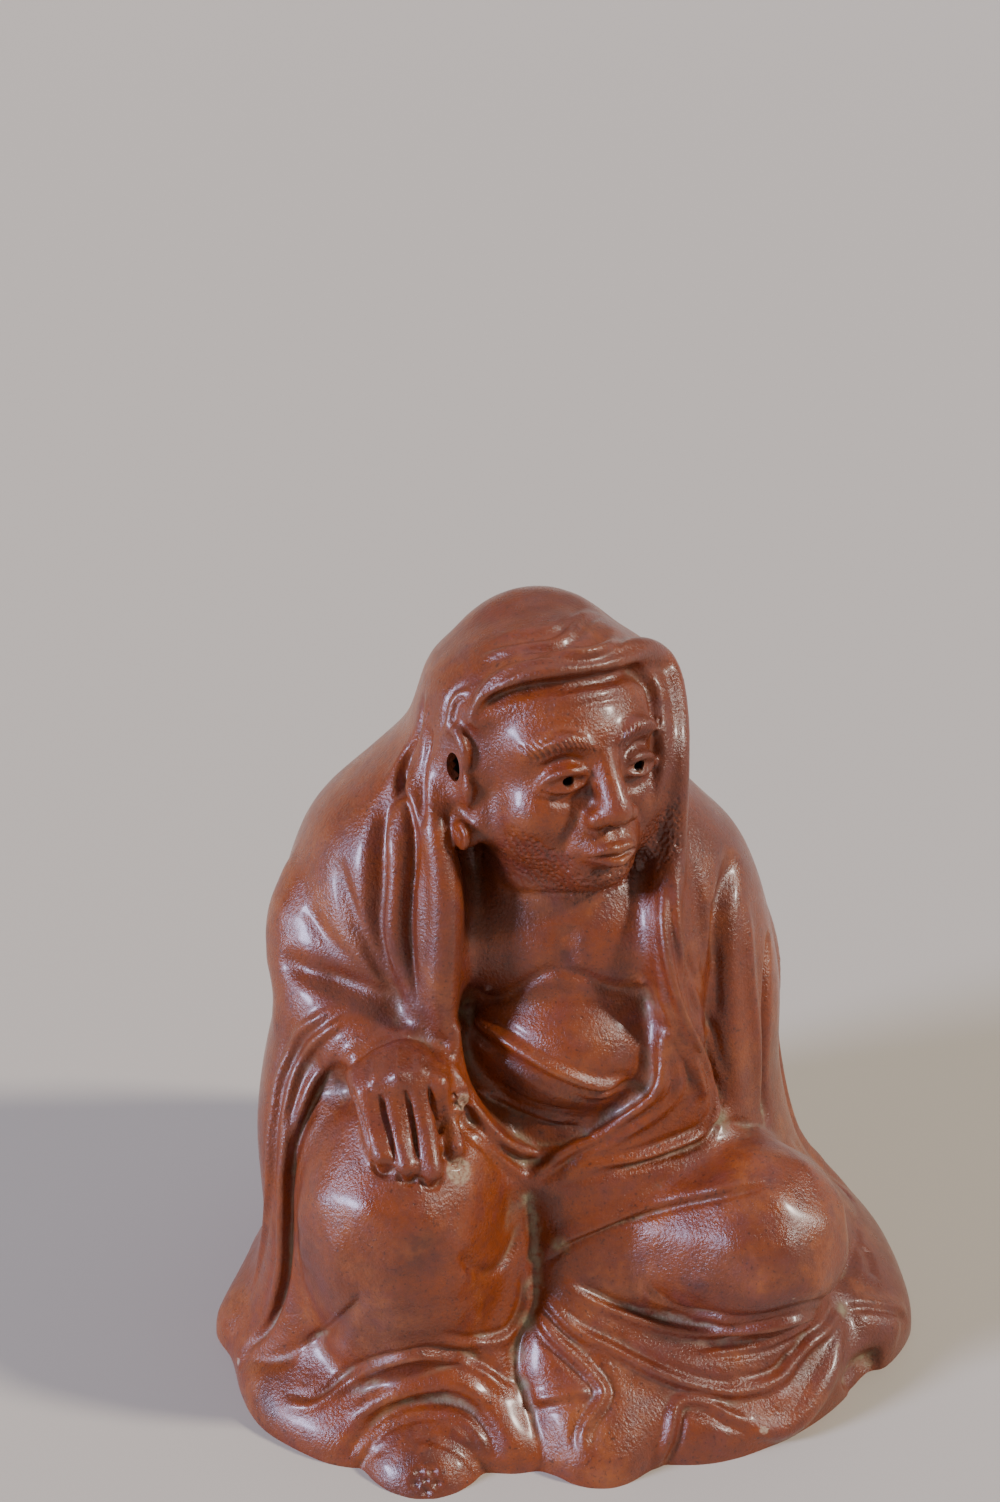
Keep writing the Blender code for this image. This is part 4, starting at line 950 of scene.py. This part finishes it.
def refined(mesh):
    """The mesh with its squares quartered where the carving is finest."""
    form = bmesh.new()
    form.from_mesh(mesh)
    form.verts.ensure_lookup_table()
    inside = in_fine_places(corners_of(mesh))
    edges = [edge for edge in form.edges if inside[edge.verts[0].index] and inside[edge.verts[1].index]]
    bmesh.ops.subdivide_edges(form, edges=edges, cuts=1, use_grid_fill=True)
    form.verts.ensure_lookup_table()
    inside = in_fine_places(np.array([corner.co[:] for corner in form.verts]))
    corners = [form.verts[i] for i in np.nonzero(inside)[0]]
    for _ in range(2):
        bmesh.ops.smooth_vert(form, verts=corners, factor=0.5,
                              use_axis_x=True, use_axis_y=True, use_axis_z=True)
    form.to_mesh(mesh)
    form.free()
    return mesh


def statue_skin():
    """The whole figure as one skin of clay, in parts, still running on below the floor."""
    clay = [lump_of(opened_cloak())]
    add_legs(clay)
    add_right_arm(clay)
    add_body(clay)
    add_head(clay)
    rough = fused(mesh_of(clay), ROUGH_GRAIN, 5)
    tree = tree_of(rough)
    clay = [lump_of(rough)]
    add_features(clay)
    add_hood_edge(clay, tree)
    add_hand(clay, tree)
    add_shoe(clay)
    add_worn_ridge(clay, tree)
    mesh = fused(mesh_of(clay), WORKING_GRAIN, 2)
    press(mesh, HOLLOWS)
    clay = [lump_of(mesh)]
    add_fine_features(clay)
    mesh = fused(mesh_of(clay), FINISHED_GRAIN, 3)
    press(mesh, FOLDS)
    mesh = refined(fused(mesh, FINISHED_GRAIN, 1))
    press(mesh, FACE + HAND + brow_hairs())
    prick(mesh, stubble(), blossom(), broken_thumb(), NIPPLES)
    return mesh


# Drilled holes, each a look, a spot, a radius and how deep it goes in.
HOLES = [
    (on_face, (-7.2, 0.25), 1.1, 9),
    (on_face, (7.2, 0.25), 1.1, 9),
    (on_face, (-1.7, -8.4), 0.6, 3),
    (on_face, (1.7, -8.4), 0.6, 3),
]

# The oval hole of the ear that shows, in the head's frame: its middle and its radii.
EAR_HOLE = (-20.6, -0.6, 2.6), (5, 1.5, 2.8)


def drills(mesh):
    """Each drilled hole's place and radius, and how deep it goes in."""
    tree = tree_of(mesh)
    found = []
    for look, spot, radius, depth in HOLES:
        place, normal = look(tree, spot)
        turn = normal.to_track_quat("Z", "Y").to_matrix().to_4x4()
        found.append((Matrix.Translation(place) @ turn, radius, depth))
    return found


def cutters(holes):
    """The space below the floor, and the drilled holes."""
    clay = []
    square = ((-90, -90), (90, -90), (90, 90), (-90, 90))
    add_skin(clay, [[(x, y, z) for x, y in square] for z in (-20, 0)])
    add_ball(clay, *EAR_HOLE, frame=head_frame())
    turns = np.linspace(0, 2 * math.pi, 20, endpoint=False)
    for drill, radius, depth in holes:
        ring = [(radius * math.cos(turn), radius * math.sin(turn)) for turn in turns]
        add_skin(clay, [[drill @ Vector((x, y, z)) for x, y in ring] for z in (-depth, 3)])
    return clay


def mark_drilled(mesh, holes):
    """1 well inside the holes, where no light comes, and 0 at their mouths."""
    places = np.c_[corners_of(mesh), np.ones(len(mesh.vertices))]
    inside = np.zeros(len(places), bool)
    for drill, radius, depth in holes:
        x, y, z = (places @ np.array(drill.inverted()).T)[:, :3].T
        inside |= (np.hypot(x, y) < 1.05 * radius) & (z < -0.3) & (z > -1.05 * depth)
    middle, radii = EAR_HOLE
    off = (places @ np.array(head_frame().inverted()).T)[:, :3] - middle
    inside |= (np.linalg.norm(off / radii, axis=1) < 1.02) & (off[:, 0] > 0.1 * radii[0])
    mark(mesh, "drilled", inside)


def neighbours(mesh):
    """The two corners of every edge."""
    edges = np.empty(len(mesh.edges) * 2, int)
    mesh.edges.foreach_get("vertices", edges)
    return edges.reshape(-1, 2)


def averaged(values, edges, rounds):
    """Every corner's value, evened out with its neighbours' over so many rounds."""
    count = len(values)
    a, b = edges.T
    ends = np.bincount(a, minlength=count) + np.bincount(b, minlength=count)
    for _ in range(rounds):
        total = np.stack(
            [np.bincount(a, v[b], count) + np.bincount(b, v[a], count) for v in values.T], axis=1
        )
        values = 0.5 * values + 0.5 * total / np.maximum(ends, 1)[:, None]
    return values


def mark(mesh, name, values):
    """Keeps a value of every corner on the mesh, for the material to read."""
    layer = mesh.attributes.new(name, "FLOAT", "POINT")
    layer.data.foreach_set("value", np.asarray(values, np.float32))


def marked(mesh, name):
    """The values kept under a name."""
    values = np.empty(len(mesh.vertices), np.float32)
    mesh.attributes[name].data.foreach_get("value", values)
    return values


def mark_depth(mesh, name, first_rounds, rounds):
    """How far each corner lies in a hollow, below 0 on a ridge, in parts.

    Each corner is compared with where it would be if the skin were rubbed flat around it.
    """
    places = corners_of(mesh)
    edges = neighbours(mesh)
    start = averaged(places, edges, first_rounds)
    depth = np.einsum("ij,ij->i", averaged(start, edges, rounds) - start, facings_of(mesh))
    mark(mesh, name, averaged(depth[:, None], edges, 2)[:, 0])


def mark_dust(mesh):
    """Dust has settled in the creases and the hollows, most of it low on the figure."""
    settled = np.maximum(
        np.interp(marked(mesh, "crease"), [0.08, 0.35], [0, 0.4]),
        np.interp(marked(mesh, "hollow"), [0.15, 0.8], [0, 0.9]),
    )
    low = np.interp(corners_of(mesh)[:, 2], [50, 85], [1, 0.4])
    mark_spots(mesh, "packed", DUSTY)
    mark(mesh, "dust", np.maximum(settled * low, marked(mesh, "packed")))


# Dust packed in valleys, scraped and chipped places, and dark smudges, partly stains and partly painted
# shade in the recess under the sash and on the shoe: a spot and its reach.
DUSTY = same_look(
    on_picture,
    ((527, 1198), 2.6), ((534, 1225), 2.6), ((536, 1255), 2.8), ((533, 1287), 3.0),
    ((526, 1322), 3.0), ((518, 1353), 2.8), ((523, 1386), 2.6), ((720, 1121), 3.4),
    ((560, 1246), 2.6), ((842, 1309), 2.4),
)
CHIPS = same_look(
    on_picture,
    ((459, 1171), 4.2), ((463, 1102), 2.6), ((838, 1348), 1.0), ((764, 1430), 1.6),
    ((238, 1362), 1.3), ((795, 1299), 0.7),
)
# Dark smudges: stains, and painted shade in the recess below the sash and over the toe of the shoe.
SMUDGES_AND_PAINTED_SHADE = same_look(
    on_picture,
    ((568, 950), 7), ((492, 992), 5), ((560, 1112), 11), ((515, 1085), 7), ((610, 1118), 7),
    ((420, 1250), 7), ((335, 1085), 6), ((640, 860), 6), ((700, 1285), 7), ((300, 1240), 6),
    ((270, 1400), 8), ((412, 1466), 13), ((470, 1440), 8),
) + [(on_face, (-3.4, -3), 3.2)]


def mark_spots(mesh, name, spots):
    """1 at the middle of each spot, falling to 0 at its reach."""
    tree = tree_of(mesh)
    places = corners_of(mesh)
    share = np.zeros(len(places))
    for look, spot, reach in spots:
        middle = look(tree, spot)[0]
        far = np.linalg.norm(places - np.array(middle), axis=1) / reach
        share = np.maximum(share, np.clip(1 - far, 0, 1))
    mark(mesh, name, share)


def settle(mesh):
    """Moves the figure from parts onto the solid's place, and gives the way there."""
    solid_low, solid_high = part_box("statue")
    corners = corners_of(mesh)
    low, high = corners.min(0), corners.max(0)
    scale = (solid_high.z - solid_low.z) / (high[2] - low[2])
    middle = Vector(((low[0] + high[0]) / 2, (low[1] + high[1]) / 2, low[2]))
    foot = Vector(((solid_low.x + solid_high.x) / 2, (solid_low.y + solid_high.y) / 2, solid_low.z))
    way = Matrix.Translation(foot) @ Matrix.Scale(scale, 4) @ Matrix.Translation(-middle)
    mesh.transform(way)
    return way


# Materials
MM = 0.001


def linear(hex_colour):
    """An sRGB hex colour as linear light."""
    parts = [int(hex_colour[i:i + 2], 16) / 255 for i in (1, 3, 5)]
    return (*[c / 12.92 if c <= 0.04045 else ((c + 0.055) / 1.055) ** 2.4 for c in parts], 1.0)


def add(tree, kind, inputs, output=0, **fields):
    """Adds a node with its fields and its inputs, each a value or another node's output.

    Gives one of its outputs.
    """
    node = tree.nodes.new(kind)
    for name, value in fields.items():
        setattr(node, name, value)
    for name, value in inputs.items():
        if isinstance(value, bpy.types.NodeSocket):
            tree.links.new(value, node.inputs[name])
        else:
            node.inputs[name].default_value = value
    return node.outputs[output]


# The clay as fired, each layer over the last: the size of its blotches in millimetres, their
# detail, from where to where they grow in, how much they cover, and their colour.
FIRED = [
    (45, 4, 0.40, 0.64, 0.9, "#622e1c"),
    (15, 5, 0.48, 0.76, 0.85, "#945126"),
    (5, 4, 0.45, 0.72, 0.35, "#5f3035"),
    (1.8, 4, 0.38, 0.70, 0.42, "#552a1f"),
    (0.8, 2, 0.60, 0.72, 0.6, "#351813"),
]

# What time did over that, and painted shade in the creases, under part of the smudges and deep in the
# drilled holes:
# the mark on the skin, from where to where it grows in, how much it covers, the size of its gaps in
# millimetres, and its colour.
AGED_AND_PAINTED_SHADE = [
    ("crease", -0.10, -0.40, 0.4, 6, "#9c6c44"),
    # Painted shade: darker in the creases.
    ("crease", 0.03, 0.25, 0.22, 2, "#3f2019"),
    ("dust", 0.0, 0.9, 0.8, 2.0, "#877f64"),
    # Partly painted shade: dark over the recess below the sash and over the shoe.
    ("smudge_and_shade", 0.0, 1.0, 0.65, 3, "#3a1d1b"),
    ("chipped", 0.3, 0.5, 0.9, 0.7, "#a38c74"),
    # Painted shade: near black deep inside the drilled holes and the ear hole.
    ("drilled", 0.0, 0.15, 1.0, 0, "#0d0706"),
]


def laid_over(tree, clay, share, colour):
    """The clay with a colour over it, as much as the share says."""
    return add(tree, "ShaderNodeMix", {0: share, 6: clay, 7: linear(colour)},
               output=2, data_type="RGBA")


def fired_clay(tree, place):
    """Red-brown clay with plum and ochre clouds, fine mottling and dark specks of iron."""
    clay = linear("#7d370f")
    for size, detail, low, high, cover, colour in FIRED:
        blotches = add(tree, "ShaderNodeTexNoise",
                       {"Vector": place, "Scale": 1 / (size * MM), "Detail": detail, "Roughness": 0.6})
        share = add(tree, "ShaderNodeMapRange",
                    {"Value": blotches, "From Min": low, "From Max": high, "To Max": cover},
                    interpolation_type="SMOOTHSTEP")
        clay = laid_over(tree, clay, share, colour)
    return clay


def aged_and_shaded_clay(tree, place, clay):
    """The clay with rubbed ridges, dust, bare chips, and painted shade in the creases, in part of the
    dark smudges and deep in the drilled holes.
    """
    for name, low, high, cover, gaps, colour in AGED_AND_PAINTED_SHADE:
        known = add(tree, "ShaderNodeAttribute", {}, output="Fac", attribute_name=name)
        share = add(tree, "ShaderNodeMapRange",
                    {"Value": known, "From Min": low, "From Max": high, "To Max": cover},
                    interpolation_type="SMOOTHSTEP")
        if gaps:
            blotches = add(tree, "ShaderNodeTexNoise",
                           {"Vector": place, "Scale": 1 / (gaps * MM), "Detail": 3})
            broken = add(tree, "ShaderNodeMapRange",
                         {"Value": blotches, "From Min": 0.3, "From Max": 0.58})
            share = add(tree, "ShaderNodeMath", {0: share, 1: broken}, operation="MULTIPLY")
        clay = laid_over(tree, clay, share, colour)
    return clay


def burnished_sheen(tree, place):
    """How rough it is: satin where it was rubbed, duller in patches, dull in dust and chips."""
    patches = add(tree, "ShaderNodeTexNoise", {"Vector": place, "Scale": 1 / (4 * MM), "Detail": 5})
    sheen = add(tree, "ShaderNodeMapRange",
                {"Value": patches, "From Min": 0.3, "From Max": 0.7, "To Min": 0.25, "To Max": 0.4})
    for name in ("dust", "chipped"):
        known = add(tree, "ShaderNodeAttribute", {}, output="Fac", attribute_name=name)
        dull = add(tree, "ShaderNodeMapRange",
                   {"Value": known, "From Max": 0.6, "To Min": 0.2, "To Max": 0.62})
        sheen = add(tree, "ShaderNodeMath", {0: sheen, 1: dull}, operation="MAXIMUM")
    return sheen


def clay_grain(tree, place):
    """Pits about half a millimetre across, over faint dents from the rubbing tool."""
    normal = None
    for size, deep, strength in ((3.5, 0.30, 0.25), (0.6, 0.22, 0.9)):
        bumps = add(tree, "ShaderNodeTexNoise",
                    {"Vector": place, "Scale": 1 / (size * MM), "Detail": 3, "Roughness": 0.6})
        inputs = {"Height": bumps, "Distance": deep * MM, "Strength": strength}
        if normal:
            inputs["Normal"] = normal
        normal = add(tree, "ShaderNodeBump", inputs)
    return normal


def burnished_stoneware():
    """Iron-rich unglazed stoneware, rubbed with a tool before firing and handled since.

    It shines softly like polished leather, with a faint pitting that breaks up the highlights.
    """
    material = bpy.data.materials.new("burnished stoneware")
    material.use_nodes = True
    tree = material.node_tree
    shader = tree.nodes["Principled BSDF"]
    place = add(tree, "ShaderNodeTexCoord", {}, output="Object")
    tree.links.new(aged_and_shaded_clay(tree, place, fired_clay(tree, place)), shader.inputs["Base Color"])
    tree.links.new(burnished_sheen(tree, place), shader.inputs["Roughness"])
    tree.links.new(clay_grain(tree, place), shader.inputs["Normal"])
    shader.inputs["IOR"].default_value = 1.5
    shader.inputs["Coat Weight"].default_value = 0.22
    shader.inputs["Coat Roughness"].default_value = 0.17
    return material


def studio_paper():
    """Matt pale paper."""
    material = bpy.data.materials.new("matt paper")
    material.use_nodes = True
    shader = material.node_tree.nodes["Principled BSDF"]
    shader.inputs["Base Color"].default_value = linear("#b8b1a4")
    shader.inputs["Roughness"].default_value = 0.9
    return material


# The studio
# The paper's sweep, as radius and height in metres, and how many sides it has.
SWEEP = [(2.0, 0.0), (3.0, 0.05), (4.0, 0.18), (5.0, 0.4), (6.0, 0.75), (7.0, 1.25)]
SWEEP_SIDES = 64


def add_floor():
    """A wide sheet of paper, flat under the statue and swept gently up far away, all round."""
    form = bmesh.new()
    rings = []
    for radius, height in SWEEP:
        turns = np.arange(SWEEP_SIDES) * math.tau / SWEEP_SIDES
        rings.append([form.verts.new((radius * math.cos(turn), radius * math.sin(turn), height))
                      for turn in turns])
    form.faces.new(rings[0])
    for inner, outer in zip(rings, rings[1:]):
        for step in range(SWEEP_SIDES):
            form.faces.new((inner[step - 1], outer[step - 1], outer[step], inner[step]))
    mesh = bpy.data.meshes.new("floor")
    form.to_mesh(mesh)
    form.free()
    mesh.shade_smooth()
    mesh.materials.append(studio_paper())
    floor = bpy.data.objects.new("floor", mesh)
    bpy.context.scene.collection.objects.link(floor)


def add_light(name, side, angle, strength, colour):
    """Even light from one side, from a source that is so many degrees across."""
    light = bpy.data.lights.new(name, "SUN")
    light.angle = math.radians(angle)
    light.energy = strength
    light.color = linear(colour)[:3]
    lamp = bpy.data.objects.new(name, light)
    lamp.location = side
    lamp.rotation_euler = Vector(side).to_track_quat("Z", "Y").to_euler()
    bpy.context.scene.collection.objects.link(lamp)


def add_lights():
    """A large window on the viewer's left, a small warmer lamp on the right, and a soft ceiling."""
    world = bpy.data.worlds.new("studio")
    world.use_nodes = True
    world.node_tree.nodes["Background"].inputs["Color"].default_value = linear("#e9e2d6")
    world.node_tree.nodes["Background"].inputs["Strength"].default_value = 0.32
    bpy.context.scene.world = world
    add_light("window", (-0.86, -0.38, 0.34), 14, 5.6, "#cdd3ff")
    add_light("lamp", (0.76, -0.16, 0.56), 6, 3.3, "#fff6ec")
    add_light("ceiling", (0.1, 0.3, 0.9), 70, 0.6, "#f2f2ff")


def add_camera(way):
    """The photograph's camera: the eye of the picture, moved with the figure."""
    data = bpy.data.cameras.new("camera")
    data.sensor_width = 36.0
    data.lens = EYE_FOCAL / PICTURE[1] * data.sensor_width
    data.clip_start = 0.01
    data.clip_end = 50
    camera = bpy.data.objects.new("camera", data)
    camera.location = way @ EYE
    camera.rotation_euler = (math.pi / 2 - EYE_PITCH, 0, 0)
    bpy.context.scene.collection.objects.link(camera)
    bpy.context.scene.camera = camera


def add_statue():
    """The figure, finely carved, in place of its solid."""
    skin = statue_skin()
    holes = drills(skin)
    mesh = cut_away(skin, cutters(holes))
    mark_depth(mesh, "crease", 0, 14)
    ratio = FACETS / (len(mesh.polygons) * 2)
    mesh = worked(mesh, ("DECIMATE", {"decimate_type": "COLLAPSE", "ratio": ratio}))
    mark_depth(mesh, "hollow", 3, 40)
    mark_spots(mesh, "chipped", CHIPS)
    mark_spots(mesh, "smudge_and_shade", SMUDGES_AND_PAINTED_SHADE)
    mark_drilled(mesh, holes)
    mark_dust(mesh)
    way = settle(mesh)
    mesh.name = "carved statue"
    mesh.shade_smooth()
    mesh.set_sharp_from_angle(angle=math.radians(50))
    mesh.materials.clear()
    mesh.materials.append(burnished_stoneware())
    statue = bpy.data.objects.new("carved_statue", mesh)
    bpy.context.scene.collection.objects.link(statue)
    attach(statue, "root")
    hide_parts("statue")
    return way


add_camera(add_statue())
add_floor()
add_lights()
